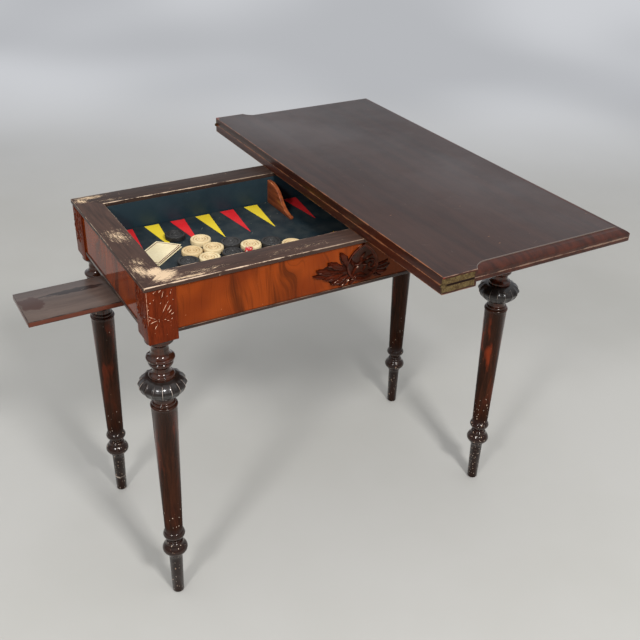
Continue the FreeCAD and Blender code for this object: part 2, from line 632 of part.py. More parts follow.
def make_pivot():
    """The cross rail, its stop pin, and the flanged bolt that the top turns on."""
    rail_x = ("(pivot_x - pivot_rail_width / 2)", "(pivot_x + pivot_rail_width / 2)")
    under = box("pivot_under", rail_x, both_ways(RAIL_INNER_Y), (PIVOT_RAIL_BOTTOM, RAIL_TOP))
    upper = box("pivot_upper", rail_x, both_ways(WELL_Y), (RAIL_TOP, "rim_height"))
    bore_radius = "bolt_radius + bolt_play"
    bore = rod("pivot_bore", bore_radius, "pivot_rail_thickness", "pivot_x", "pivot_y", PIVOT_RAIL_BOTTOM)
    stop_x = "(pivot_x - stop_ring)"
    stop_foot = "(rim_height - stop_seat)"
    seat = rod("stop_hole", "stop_radius", "stop_seat", stop_x, "pivot_y", stop_foot)
    node("pivot_rail", cut("pivot_rail", fuse("pivot_cross", under, upper), bore, seat))
    stop = rod("turn_stop_pin", "stop_radius", "stop_seat + stop_reach", stop_x, "pivot_y", stop_foot)
    node("turn_stop_pin", stop, stop_x, "pivot_y", stop_foot)

    flange = rod("bolt_flange", "flange_radius", "flange_thickness", "pivot_x", "pivot_y", LEAF_BOTTOM)
    bolt_foot = f"({NUT_BOTTOM} - bolt_end)"
    shank = rod("bolt_shank", "bolt_radius", f"{LEAF_BOTTOM} - {bolt_foot}", "pivot_x", "pivot_y", bolt_foot)
    screws = []
    for place in range(FLANGE_SCREWS):
        turn = f"({place} * {QUARTER_TURN}deg + {QUARTER_TURN}deg / 2)"
        x = f"(pivot_x + flange_screw_ring * cos({turn}))"
        y = f"(pivot_y + flange_screw_ring * sin({turn}))"
        screws.append(screw(f"flange_screw_{place}", x, y, LEAF_BOTTOM))
    node("pivot_screws", group("pivot_screws", *screws))
    holes = fuse("flange_holes", *screws)
    node("pivot_bolt", cut("pivot_bolt", fuse("bolt_blank", flange, shank), holes))

    washer = rod("washer_disc", "washer_radius", "washer_thickness", "pivot_x", "pivot_y", NUT_TOP)
    washer_bore = rod("washer_bore", "bolt_radius", "washer_thickness", "pivot_x", "pivot_y", NUT_TOP)
    node("pivot_washer", cut("pivot_washer", washer, washer_bore))
    prism = doc.addObject("Part::Prism", "nut_prism")
    prism.Polygon = NUT_SIDES
    prism.setExpression("Circumradius", bound("nut_radius"))
    prism.setExpression("Height", bound("nut_height"))
    set_place(prism, "pivot_x", "pivot_y", NUT_BOTTOM)
    nut_bore = rod("nut_bore", "bolt_radius", "nut_height", "pivot_x", "pivot_y", NUT_BOTTOM)
    node("pivot_nut", cut("pivot_nut", prism, nut_bore))
    return flange, holes


def stop_groove():
    """A quarter-circle groove in the lower leaf's underside, for the stop pin."""
    half_width = "(stop_radius + clearance)"
    depth = "stop_reach"
    outer = rod("groove_outer", f"stop_ring + {half_width}", depth, "pivot_x", "pivot_y", LEAF_BOTTOM)
    inner = rod("groove_inner", f"stop_ring - {half_width}", depth, "pivot_x", "pivot_y", LEAF_BOTTOM)
    for disc in (outer, inner):
        disc.Angle = QUARTER_TURN
        disc.Placement.Rotation = FreeCAD.Rotation(UPWARD, 2 * QUARTER_TURN)
    start = rod("groove_start", half_width, depth, "(pivot_x - stop_ring)", "pivot_y", LEAF_BOTTOM)
    end = rod("groove_end", half_width, depth, "pivot_x", "(pivot_y - stop_ring)", LEAF_BOTTOM)
    return fuse("stop_groove", cut("groove_arc", outer, inner), start, end)


def make_leaf_board(name, outer_face, side):
    """A leaf with its moulded edges on the outer face: side is 1 for a top face and -1 for an underside."""
    sign = "+" if side > 0 else "-"
    back = "-" if side > 0 else "+"
    past = f"({outer_face} {sign} moulding_step)"
    step = f"({outer_face} {back} moulding_step)"
    lip = f"({outer_face} {back} moulding_depth)"
    body = doc.addObject("PartDesign::Body", name)
    slab_foot = f"({LEAF_TOP} - leaf_thickness)" if side > 0 else LEAF_BOTTOM
    slab = start_sketch(body, "XY_Plane", f"{name}_slab", slab_foot)
    rectangle(slab, (HINGE_EDGE, FREE_EDGE), (NEAR_END, FAR_END))
    pad(body, f"{name}_board", slab, "leaf_thickness")

    def moulding_corners(edge, inward, beyond):
        """The waste outside the moulding, from beyond the edge to the moulding's inner side."""
        swell = "moulding_swell" if (side > 0) == (inward == "+") else "-moulding_swell"
        inner = f"({edge} {inward} moulding_width)"
        out = f"({edge} {beyond} moulding_step)"
        return [(out, lip), (out, past), (inner, past), (inner, step, swell), (edge, lip)]

    long_edge = start_sketch(body, "XZ_Plane", f"{name}_long_edge", f"-{FAR_END}")
    closed_outline(long_edge, moulding_corners(FREE_EDGE, "-", "+"))
    pocket(body, f"{name}_long_moulding", long_edge, "leaf_length")
    ends = start_sketch(body, "YZ_Plane", f"{name}_ends", f"{HINGE_EDGE} + moulding_stop")
    closed_outline(ends, moulding_corners(NEAR_END, "+", "-"))
    closed_outline(ends, moulding_corners(FAR_END, "-", "+"))
    pocket(body, f"{name}_end_mouldings", ends, "leaf_width - moulding_stop")

    # The end mouldings start with a rounded sweep
    stops = start_sketch(body, "XY_Plane", f"{name}_stops", slab_foot)
    start = f"({HINGE_EDGE} + moulding_stop)"
    tip = f"({HINGE_EDGE} + moulding_stop + moulding_sweep)"
    near_inner = f"({NEAR_END} + moulding_width)"
    far_inner = f"({FAR_END} - moulding_width)"
    closed_outline(stops, [(start, NEAR_END, "-moulding_bow"), (tip, near_inner), (start, near_inner)])
    closed_outline(stops, [(start, FAR_END, "moulding_bow"), (tip, far_inner), (start, far_inner)])
    pad(body, f"{name}_round_stops", stops, "leaf_thickness")
    return body


def make_hinge_half(end, leaf):
    """One plate of a hinge with its screws. The lower leaf's lug is the outer half of the hinge's
    thickness, the upper leaf's the inner half."""
    near = end == "near"
    face = NEAR_END if near else FAR_END
    pitch = -QUARTER_TURN if near else QUARTER_TURN
    inward = "+" if near else "-"
    upper = leaf == "upper"
    name = f"{leaf}_plate_{end}"

    def span(start, stop):
        low, high = f"({face} {inward} {start})", f"({face} {inward} {stop})"
        return (low, high) if near else (high, low)

    foot = UPPER_FACE if upper else f"({LOWER_FACE} - plate_height)"
    plate_z = (foot, f"({foot} + plate_height)")
    plate_x = (HINGE_EDGE, f"({HINGE_EDGE} + plate_length)")
    blank = box(f"{name}_blank", plate_x, span("0", "plate_thickness"), plate_z)
    lug_thickness = "((plate_thickness - lug_gap) / 2)"
    lug_start = f"({face} {inward} (plate_thickness - {lug_thickness}))" if upper else face
    lug = rod(f"{name}_lug", "lug_radius", lug_thickness, HINGE_AXIS, lug_start, LEAF_FOLD, pitch)
    relief_start = face if upper else f"({face} {inward} {lug_thickness})"
    relief_depth = f"plate_thickness - {lug_thickness}"
    relief_radius = "lug_radius + clearance"
    relief = rod(f"{name}_relief", relief_radius, relief_depth, HINGE_AXIS, relief_start, LEAF_FOLD, pitch)
    play = "hinge_pin_radius + hinge_pin_play" if upper else "hinge_pin_radius"
    bore = rod(f"{name}_bore", play, "plate_thickness", HINGE_AXIS, face, LEAF_FOLD, pitch)
    screw_z = f"({foot} + plate_height / 2)"
    screws = []
    for place in range(HINGE_SCREWS):
        x = f"({HINGE_EDGE} + screw_start + {place} * screw_pitch)"
        screws.append(screw(f"{name}_screw_{place}", x, face, screw_z, pitch))
    relieved = cut(f"{name}_relieved", blank, relief)
    node(name, cut(name, fuse(f"{name}_body", relieved, lug), bore, *screws))
    recess = box(f"{name}_recess", plate_x, span("0", "plate_thickness"), plate_z)
    return recess, screws


def make_hinge_pin(end):
    face = NEAR_END if end == "near" else FAR_END
    pitch = -QUARTER_TURN if end == "near" else QUARTER_TURN
    pin = rod(f"hinge_pin_{end}", "hinge_pin_radius", "plate_thickness", HINGE_AXIS, face, LEAF_FOLD, pitch)
    node(f"hinge_pin_{end}", pin, HINGE_AXIS, face, LEAF_FOLD)


def make_top():
    flange, flange_holes = make_pivot()
    waste = {"lower": [flange, flange_holes, stop_groove()], "upper": []}
    boards = {
        "lower": make_leaf_board("lower_board", LEAF_BOTTOM, -1),
        "upper": make_leaf_board("upper_board", LEAF_TOP, 1),
    }
    for leaf in ("lower", "upper"):
        all_screws = []
        for end in ("near", "far"):
            recess, screws = make_hinge_half(end, leaf)
            waste[leaf] += [recess] + screws
            all_screws += screws
        node(f"{leaf}_hinge_screws", group(f"{leaf}_hinge_screws", *all_screws))
        node(f"{leaf}_leaf", cut(f"{leaf}_leaf", boards[leaf], *waste[leaf]))
    for end in ("near", "far"):
        make_hinge_pin(end)


def make_slide(name, side, out):
    """A board that runs in two grooved runners under the floor, with a stop block on it. Side is -1 at the
    left end and 1 at the right end, and out is how far it stands out."""
    outer_end = f"({BEAD_X} + {out})"
    inner_end = f"({outer_end} - slide_length)"
    half = "(slide_width / 2)"
    slide_x = on_side(side, (inner_end, outer_end))
    board(f"{name}_slide", slide_x, both_ways(half), (SLIDE_BOTTOM, SLIDE_TOP))
    stop_face = f"({RAIL_INNER_X} - slide_travel + {out})"
    stop_x = on_side(side, (f"({stop_face} - slide_stop_length)", stop_face))
    stop_z = (SLIDE_TOP, f"({SLIDE_TOP} + slide_stop_height)")
    board(f"{name}_slide_stop", stop_x, both_ways("(slide_stop_width / 2)"), stop_z)

    pushed_in = f"({BEAD_X} - slide_length)"
    backstop_face = f"({pushed_in} - clearance)"
    backstop_end = f"({backstop_face} - backstop_length)"
    groove_wall = f"({half} + clearance)"
    runner_inner = f"({groove_wall} - groove_depth)"
    runner_outer = f"({runner_inner} + runner_width)"
    runner_x = on_side(side, (backstop_end, CLEAT_X))
    runner_z = (RUNNER_BOTTOM, FLOOR_BOTTOM)
    groove_z = (f"({SLIDE_BOTTOM} - clearance)", f"({SLIDE_TOP} + clearance)")
    runners = []
    for row in (-1, 1):
        place = len(runners)
        bar_y = on_side(row, (runner_inner, runner_outer))
        groove_y = on_side(row, (runner_inner, groove_wall))
        bar = box(f"{name}_bar_{place}", runner_x, bar_y, runner_z)
        groove = box(f"{name}_groove_{place}", runner_x, groove_y, groove_z)
        runners.append(cut(f"{name}_runner_{place}", bar, groove))
    node(f"{name}_runners", group(f"{name}_runners", *runners))
    backstop_x = on_side(side, (backstop_end, backstop_face))
    board(f"{name}_backstop", backstop_x, both_ways(runner_inner), runner_z)


def make_loose_things():
    """Draughtsmen, a die and a card that lie on the floor of the well."""
    for colour, spots in (("cream", CREAM_DRAUGHTS), ("black", BLACK_DRAUGHTS)):
        discs = []
        for x, y in spots:
            name = f"{colour}_draught_{len(discs)}"
            discs.append(rod(name, "draught_radius", "draught_thickness", str(x), str(y), COAT_TOP))
        node(f"{colour}_draughts", group(f"{colour}_draughts", *discs))
    die_side = both_ways("(die_size / 2)")
    die = box("die_cube", die_side, die_side, ("0", "die_size"))
    lay_down("die", die, DIE_SPOT, DIE_TURN)
    sheet_x = both_ways("(card_length / 2)")
    card = box("card_sheet", sheet_x, both_ways("(card_width / 2)"), ("0", "card_thickness"))
    lay_down("card", card, CARD_SPOT, CARD_TURN)


def lay_down(label, solid, spot, turn):
    """Turns a thing about its own middle and lays it on the floor of the well."""
    thing = group(label, solid)
    thing.Placement.Rotation = FreeCAD.Rotation(UPWARD, turn)
    node(label, thing, str(spot[0]), str(spot[1]), COAT_TOP)


def check_document():
    """Stops where an object failed or a sub-part isn't a sound solid."""
    for thing in doc.Objects:
        if "Invalid" in thing.State or "Error" in thing.State:
            raise RuntimeError(f"{thing.Label} failed: {thing.State}")
    for thing in nodes:
        if thing.Shape.isNull() or not thing.Shape.isValid() or not thing.Shape.Solids:
            raise RuntimeError(f"{thing.Label} has no sound solid")


make_leg("leg_back_right", LEG_X, LEG_Y, 0)
make_leg("leg_back_left", f"-{LEG_X}", LEG_Y, QUARTER_TURN)
make_leg("leg_front_left", f"-{LEG_X}", f"-{LEG_Y}", 2 * QUARTER_TURN)
make_leg("leg_front_right", LEG_X, f"-{LEG_Y}", 3 * QUARTER_TURN)
make_rails()
make_rims()
make_well()
make_points()
make_divider("front_divider", -1)
make_divider("back_divider", 1)
make_carving()
make_top()
make_slide("left", -1, "slide_out")
make_slide("right", 1, "0")
make_loose_things()

doc.recompute()
check_document()
os.makedirs("parts", exist_ok=True)
for thing in nodes:
    thing.Shape.exportStep(f"parts/{thing.Label}.step")
    print(thing.Label, len(thing.Shape.Solids), round(thing.Shape.Volume))
print(len(nodes), "nodes")
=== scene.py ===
# %% [markdown]
# # A games table with a turning top
# The imported model of the table is loaded first. It is the fixed frame: every board already stands in its
# place, in metres. This lesson gives the boards their finish and
# replaces the plain turned, carved and loose pieces by detailed ones.

# %% Load the frame
import math

import bmesh
import bpy
from mathutils import Matrix, Quaternion, Vector


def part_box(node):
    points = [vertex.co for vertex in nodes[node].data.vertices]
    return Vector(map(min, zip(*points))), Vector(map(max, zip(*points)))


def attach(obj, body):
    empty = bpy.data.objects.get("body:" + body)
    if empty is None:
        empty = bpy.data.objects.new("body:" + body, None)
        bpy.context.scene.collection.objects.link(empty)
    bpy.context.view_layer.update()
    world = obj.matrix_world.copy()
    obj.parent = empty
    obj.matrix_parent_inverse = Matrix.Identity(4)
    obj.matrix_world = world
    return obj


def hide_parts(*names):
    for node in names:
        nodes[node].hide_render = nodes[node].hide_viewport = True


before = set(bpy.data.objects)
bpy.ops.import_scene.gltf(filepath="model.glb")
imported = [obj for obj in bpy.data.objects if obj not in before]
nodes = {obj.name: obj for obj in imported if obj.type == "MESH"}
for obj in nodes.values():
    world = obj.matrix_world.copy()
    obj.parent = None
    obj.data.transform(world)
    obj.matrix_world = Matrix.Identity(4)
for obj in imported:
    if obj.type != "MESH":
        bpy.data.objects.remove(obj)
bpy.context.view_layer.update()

MM = 0.001
rim_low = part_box("left_rim")[0]
rim_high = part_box("right_rim")[1]
MIDDLE = Vector(((rim_low.x + rim_high.x) / 2, (rim_low.y + rim_high.y) / 2, 0.0))


def at(x, y, z):
    """A point given in millimetres from the middle of the frame, in metres where the model has it."""
    return MIDDLE + Vector((x, y, z)) * MM


print("frame of", len(nodes), "nodes, middle of the frame at", MIDDLE)

# %% [markdown]
# ## Camera
# The camera stands where the photo was taken from, found by lining up the corners of the top and the feet of
# the legs. A constraint could aim it, but a track quaternion with a small lean says the same in one line.

# %% Camera
CAMERA_PLACE = Vector((-0.7361, -1.4547, 1.4325))
CAMERA_TURN = math.radians(30.403)
CAMERA_TILT = math.radians(30.605)
CAMERA_LEAN = math.radians(1.653)
FOCAL_PIXELS = 897.0
IMAGE_PIXELS = 640.0
SENSOR = 36.0

camera_data = bpy.data.cameras.new("photo_camera")
camera_data.sensor_width = SENSOR
camera_data.lens = FOCAL_PIXELS / IMAGE_PIXELS * SENSOR
camera = bpy.data.objects.new("photo_camera", camera_data)
bpy.context.scene.collection.objects.link(camera)
ahead = Vector((math.sin(CAMERA_TURN) * math.cos(CAMERA_TILT),
                math.cos(CAMERA_TURN) * math.cos(CAMERA_TILT),
                -math.sin(CAMERA_TILT)))
camera.location = CAMERA_PLACE
camera.rotation_mode = "QUATERNION"
camera.rotation_quaternion = ahead.to_track_quat("-Z", "Y") @ Quaternion((0, 0, 1), CAMERA_LEAN)
bpy.context.scene.camera = camera
bpy.context.scene.view_settings.view_transform = "Standard"
print("camera lens", round(camera_data.lens, 1), "mm")

# %% [markdown]
# ## Helpers for node graphs
# Materials here are graphs of nodes. A few short helpers keep them readable: `put` places a node and connects
# its inputs, and the others name the sums and patterns that come up again and again. A socket knows the tree
# that it belongs to, so the sums find their own place.

# %% Node helpers


def put(tree, kind, inputs=None, **options):
    """Places a node with its options set, and gives each named input a value or a link."""
    node = tree.nodes.new(kind)
    for option, value in options.items():
        setattr(node, option, value)
    for key, value in (inputs or {}).items():
        if isinstance(value, bpy.types.NodeSocket):
            tree.links.new(value, node.inputs[key])
        else:
            node.inputs[key].default_value = value
    return node


def tree_of(*values):
    """The node tree of the first socket among some values."""
    return next(value.id_data for value in values if isinstance(value, bpy.types.NodeSocket))


def reckon(operation, first, second=0.0):
    """One sum of two numbers."""
    tree = tree_of(first, second)
    return put(tree, "ShaderNodeMath", {0: first, 1: second}, operation=operation).outputs[0]


def times(first, second):
    """Two numbers or masks multiplied."""
    return reckon("MULTIPLY", first, second)


def apart(first, second):
    """How far two numbers lie from each other."""
    return reckon("ABSOLUTE", reckon("SUBTRACT", first, second))


def reckon_vector(operation, first, second):
    """One sum of two vectors."""
    return put(tree_of(first), "ShaderNodeVectorMath", {0: first, 1: second}, operation=operation).outputs[0]


def axes_of(where):
    """The three numbers of a place."""
    return put(tree_of(where), "ShaderNodeSeparateXYZ", {0: where}).outputs


print("sums ready")

# %% Patterns and colours


def fade(value, start, end, low=0.0, high=1.0):
    """A smooth step from low to high while the value goes from start to end."""
    inputs = {"Value": value, "From Min": start, "From Max": end, "To Min": low, "To Max": high}
    return put(tree_of(value), "ShaderNodeMapRange", inputs, interpolation_type="SMOOTHSTEP").outputs[0]


def fall(value, start, end, high=1.0):
    """A smooth step down to nothing while the value goes from start to end."""
    return fade(value, start, end, high, 0.0)


def cloud(where, scale, detail=3.0, rough=0.55):
    """Noise between 0 and 1, with features of about one metre divided by scale."""
    inputs = {"Vector": where, "Scale": scale, "Detail": detail, "Roughness": rough}
    return put(tree_of(where), "ShaderNodeTexNoise", inputs).outputs[0]


def blend(mask, under, over):
    """Two colours mixed by a mask."""
    return put(tree_of(mask), "ShaderNodeMix", {0: mask, 6: under, 7: over}, data_type="RGBA").outputs[2]


def tint(red, green, blue):
    """A colour as a picture editor gives it, in the linear values that Blender works in."""
    def linear(value):
        share = value / 255.0
        return share / 12.92 if share <= 0.04045 else ((share + 0.055) / 1.055) ** 2.4
    return (linear(red), linear(green), linear(blue), 1.0)


def open_group(name, inputs, outputs):
    """A new shader node group with named sockets; gives its tree, what comes in and where results go."""
    tree = bpy.data.node_groups.new(name, "ShaderNodeTree")
    for label, kind in inputs.items():
        tree.interface.new_socket(label, in_out="INPUT", socket_type="NodeSocket" + kind)
    for label, kind in outputs.items():
        tree.interface.new_socket(label, in_out="OUTPUT", socket_type="NodeSocket" + kind)
    return tree, tree.nodes.new("NodeGroupInput").outputs, tree.nodes.new("NodeGroupOutput").inputs


print("node helpers ready")

# %% [markdown]
# ## Floor, backdrop and light
# The table stands on a pale studio floor that sweeps up into a backdrop. Two soft lamps stand high to the
# left and right of the camera, so every turned bead shows two highlights and every leg throws two soft
# shadows. The sweep is one edge that is extruded, spun through a quarter turn and extruded again. Its far part
# is seen, directly and in polish, as evenly lit paper, and lights nothing itself.

# %% Floor and backdrop
SWEEP_WIDTH = 80.0
SWEEP_FRONT = -40.0
SWEEP_FOOT = 4.2
SWEEP_RADIUS = 1.6
SWEEP_TOP = 3.0
SWEEP_STEPS = 24
QUARTER = math.pi / 2


def verts_in(geom):
    """The vertices among the results of an operator."""
    return [item for item in geom if isinstance(item, bmesh.types.BMVert)]


def edges_in(geom):
    """The edges among the results of an operator."""
    return [item for item in geom if isinstance(item, bmesh.types.BMEdge)]


def pull_edge(bm, edge, way):
    """Extrudes one edge along a way and gives the new edge."""
    made = bmesh.ops.extrude_edge_only(bm, edges=[edge])["geom"]
    bmesh.ops.translate(bm, verts=verts_in(made), vec=way)
    return edges_in(made)[0]


def make_object(name, bm):
    """Writes a bmesh to a smooth mesh at the origin and puts its object in the scene."""
    mesh = bpy.data.meshes.new(name)
    bm.to_mesh(mesh)
    bm.free()
    for polygon in mesh.polygons:
        polygon.use_smooth = True
    made = bpy.data.objects.new(name, mesh)
    bpy.context.scene.collection.objects.link(made)
    return made


sweep = bmesh.new()
near = sweep.edges.new((sweep.verts.new((-SWEEP_WIDTH / 2, SWEEP_FRONT, 0)),
                        sweep.verts.new((SWEEP_WIDTH / 2, SWEEP_FRONT, 0))))
foot_edge = pull_edge(sweep, near, Vector((0, SWEEP_FOOT - SWEEP_FRONT, 0)))
spun = bmesh.ops.spin(sweep, geom=[foot_edge] + list(foot_edge.verts), axis=(1, 0, 0), angle=QUARTER,
                      cent=(0, SWEEP_FOOT, SWEEP_RADIUS), steps=SWEEP_STEPS)["geom_last"]
pull_edge(sweep, edges_in(spun)[0], Vector((0, 0, SWEEP_TOP)))
bmesh.ops.transform(sweep, verts=sweep.verts, matrix=Matrix.Rotation(-CAMERA_TURN, 4, "Z"))
bmesh.ops.recalc_face_normals(sweep, faces=sweep.faces)
studio = make_object("studio_sweep", sweep)
print("studio sweep of", len(studio.data.polygons), "faces")

# %% Studio paper
PAPER_MOTTLE = 1.6
PAPER_ROUGHNESS = 0.7
PAPER_SPECULAR = 0.2
BACKDROP_START = 1.2
BACKDROP_END = 3.6
BACKDROP_MOTTLE = 0.45


def seen_rays(tree):
    """White for what the camera sees, straight or by way of polish and glass."""
    ray = put(tree, "ShaderNodeLightPath").outputs
    return reckon("MAXIMUM", ray["Is Camera Ray"],
                  reckon("MAXIMUM", ray["Is Glossy Ray"], ray["Is Transmission Ray"]))


paper = bpy.data.materials.new("studio_paper")
paper.use_nodes = True
paper_tree = paper.node_tree
paper_place = put(paper_tree, "ShaderNodeTexCoord").outputs["Object"]
paper_tone = fade(cloud(paper_place, PAPER_MOTTLE, 4.0), 0.3, 0.7)
paper_shader = paper_tree.nodes["Principled BSDF"]
paper_tree.links.new(blend(paper_tone, tint(184, 182, 176), tint(189, 187, 182)),
                     paper_shader.inputs["Base Color"])
paper_shader.inputs["Roughness"].default_value = PAPER_ROUGHNESS
paper_shader.inputs["Specular IOR Level"].default_value = PAPER_SPECULAR
view_way = (math.sin(CAMERA_TURN), math.cos(CAMERA_TURN), 0)
away = put(paper_tree, "ShaderNodeVectorMath", {0: paper_place, 1: view_way},
           operation="DOT_PRODUCT").outputs["Value"]
lit_share = times(seen_rays(paper_tree), fade(away, BACKDROP_START, BACKDROP_END))
glow_colour = blend(fade(cloud(paper_place, BACKDROP_MOTTLE, 1.0), 0.35, 0.65),
                    tint(182, 184, 188), tint(206, 208, 212))
glow = put(paper_tree, "ShaderNodeEmission", {"Color": glow_colour, "Strength": 1.0}).outputs[0]
shown = put(paper_tree, "ShaderNodeMixShader", {0: lit_share, 1: paper_shader.outputs[0], 2: glow}).outputs[0]
paper_tree.links.new(shown, paper_tree.nodes["Material Output"].inputs["Surface"])
studio.data.materials.append(paper)
print("paper lit from", BACKDROP_START, "to", BACKDROP_END, "m behind the table")

# %% Lamps and world
LAMPS = {"left_softbox": ((-2.4, -1.8, 2.7), 46.0), "right_softbox": ((0.0, -2.8, 3.0), 84.0)}
LAMP_SIZE = 0.5
AIM = Vector((0.1, 0.0, 0.4))
ROOM_COLOUR = (0.95, 0.97, 1.0, 1.0)
ROOM_LOW = 0.1
ROOM_HIGH = 0.95
HORIZON = 0.3
for lamp_name, (lamp_place, watts) in LAMPS.items():
    lamp_data = bpy.data.lights.new(lamp_name, "AREA")
    lamp_data.energy = watts
    lamp_data.size = LAMP_SIZE
    lamp = bpy.data.objects.new(lamp_name, lamp_data)
    lamp.location = lamp_place
    lamp.rotation_euler = (AIM - lamp.location).to_track_quat("-Z", "Y").to_euler()
    bpy.context.scene.collection.objects.link(lamp)
world = bpy.data.worlds.new("soft_room")
world.use_nodes = True
room = world.node_tree.nodes["Background"]
room.inputs["Color"].default_value = ROOM_COLOUR
sky_height = axes_of(put(world.node_tree, "ShaderNodeTexCoord").outputs["Generated"])[2]
sky_light = fade(sky_height, 0.0, 0.95, ROOM_LOW, ROOM_HIGH)
sky_shown = reckon("MAXIMUM", sky_light, times(seen_rays(world.node_tree), HORIZON))
world.node_tree.links.new(sky_shown, room.inputs["Strength"])
bpy.context.scene.world = world
print("lamps:", ", ".join(LAMPS))

# %% [markdown]
# ## Shared effects as node groups
# Old polished wood shows the same few things on every piece: grain, rubbed edges, small marks and rubbed
# patches. Each is a node group, built once, and placed in each finish with its own values.

# %% Edge wear group
# The distance to the second nearest face of a board's box is small only near its edges.
EDGE_WEAR, given, result = open_group(
    "Edge wear",
    {"Position": "Vector", "Low corner": "Vector", "High corner": "Vector", "Reach": "Float"},
    {"Wear": "Float"})
WEAR_LEAST = 0.12
WEAR_MOST = 1.5
from_low = reckon_vector("SUBTRACT", given["Position"], given["Low corner"])
from_high = reckon_vector("SUBTRACT", given["High corner"], given["Position"])
nearest = axes_of(reckon_vector("MINIMUM", from_low, from_high))
lesser = reckon("MINIMUM", nearest[0], nearest[1])
greater = reckon("MAXIMUM", nearest[0], nearest[1])
to_edge = reckon("MAXIMUM", lesser, reckon("MINIMUM", greater, nearest[2]))
patchy = fade(cloud(given["Position"], 32.0, 5.0, 0.65), 0.36, 0.66, WEAR_LEAST, WEAR_MOST)
EDGE_WEAR.links.new(fall(to_edge, 0.0, times(given["Reach"], patchy)), result["Wear"])
print("group:", EDGE_WEAR.name)

# %% Wood grain group
# Position arrives turned so that X lies along the board. Squeezing X draws noise out into long streaks.
WOOD_GRAIN, given, result = open_group(
    "Wood grain",
    {"Position": "Vector", "Light": "Color", "Dark": "Color", "Streak": "Float"},
    {"Colour": "Color", "Fibres": "Float"})
GRAIN_SWAY = (0.0, 0.025, 0.025)
GRAIN_DRAWN = (0.06, 1.0, 1.0)
FIBRE_SCALE = 700.0
FIBRE_SHARE = 0.28
wander = put(WOOD_GRAIN, "ShaderNodeTexNoise", {"Vector": given["Position"], "Scale": 5.0, "Detail": 2.0})
bent = reckon_vector("ADD", given["Position"], reckon_vector("MULTIPLY", wander.outputs[1], GRAIN_SWAY))
drawn = reckon_vector("MULTIPLY", bent, GRAIN_DRAWN)
broad = cloud(drawn, reckon("DIVIDE", 1.0, given["Streak"]), 3.0, 0.6)
fibres = cloud(drawn, FIBRE_SCALE, 2.0)
mixed = reckon("ADD", times(broad, 1.0 - FIBRE_SHARE), times(fibres, FIBRE_SHARE))
WOOD_GRAIN.links.new(blend(fade(mixed, 0.34, 0.66), given["Dark"], given["Light"]), result["Colour"])
WOOD_GRAIN.links.new(fibres, result["Fibres"])
print("group:", WOOD_GRAIN.name)

# %% Small marks group
# Cells of a Voronoi pattern hold one dot each. Stretched, the dots are scratches. Left round, they are specks.
SMALL_MARKS, given, result = open_group(
    "Small marks",
    {"Position": "Vector", "Size": "Vector", "Share": "Float"},
    {"Marks": "Float"})
MARK_PITCH = 0.34
MARK_RADIUS = 0.17
in_marks = reckon_vector("DIVIDE", given["Position"], given["Size"])
cells = put(SMALL_MARKS, "ShaderNodeTexVoronoi", {"Vector": in_marks, "Scale": MARK_PITCH})
chance = put(SMALL_MARKS, "ShaderNodeSeparateColor", {0: cells.outputs["Color"]}).outputs[0]
dots = fall(cells.outputs["Distance"], MARK_RADIUS / 2, MARK_RADIUS)
SMALL_MARKS.links.new(times(dots, reckon("LESS_THAN", chance, given["Share"])), result["Marks"])
print("group:", SMALL_MARKS.name)

# %% Rubbed patch group
# Position arrives measured from the patch's middle. Streaks fill up towards it and thin out at the border.
RUBBED_PATCH, given, result = open_group(
    "Rubbed patch",
    {"Position": "Vector", "Reach": "Vector", "Streaks": "Vector", "Fill": "Float"},
    {"Mask": "Float"})
STREAK_CONTRAST = 2.4
unit = reckon_vector("DIVIDE", given["Position"], given["Reach"])
far = put(RUBBED_PATCH, "ShaderNodeVectorMath", {0: unit}, operation="LENGTH").outputs["Value"]
streaky = cloud(reckon_vector("MULTIPLY", given["Position"], given["Streaks"]), 1.0, 5.0, 0.7)
strong = times(reckon("SUBTRACT", streaky, 0.5), STREAK_CONTRAST)
filled = times(fall(far, 0.0, 1.0), given["Fill"])
rubbed = fade(reckon("ADD", strong, filled), 0.46, 0.57)
RUBBED_PATCH.links.new(times(rubbed, fall(far, 0.9, 1.15)), result["Mask"])
print("group:", RUBBED_PATCH.name)

# %% [markdown]
# ## Finishes in layers
# A polisher works from the wood outwards, and so does this class: it starts with the bare colour, lays wear
# and dirt over it by masks, and at the end connects colour, roughness and relief to one Principled shader.
# Sizes of marks, streaks and relief are in millimetres.

# %% Finish
WARM_SHINE = (1.0, 0.74, 0.55, 1.0)
ORANGE_SHINE = (1.0, 0.6, 0.34, 1.0)
SCRATCH_ANGLES = (0.5, 1.4, 2.6)
FIBRE_RELIEF = 0.06


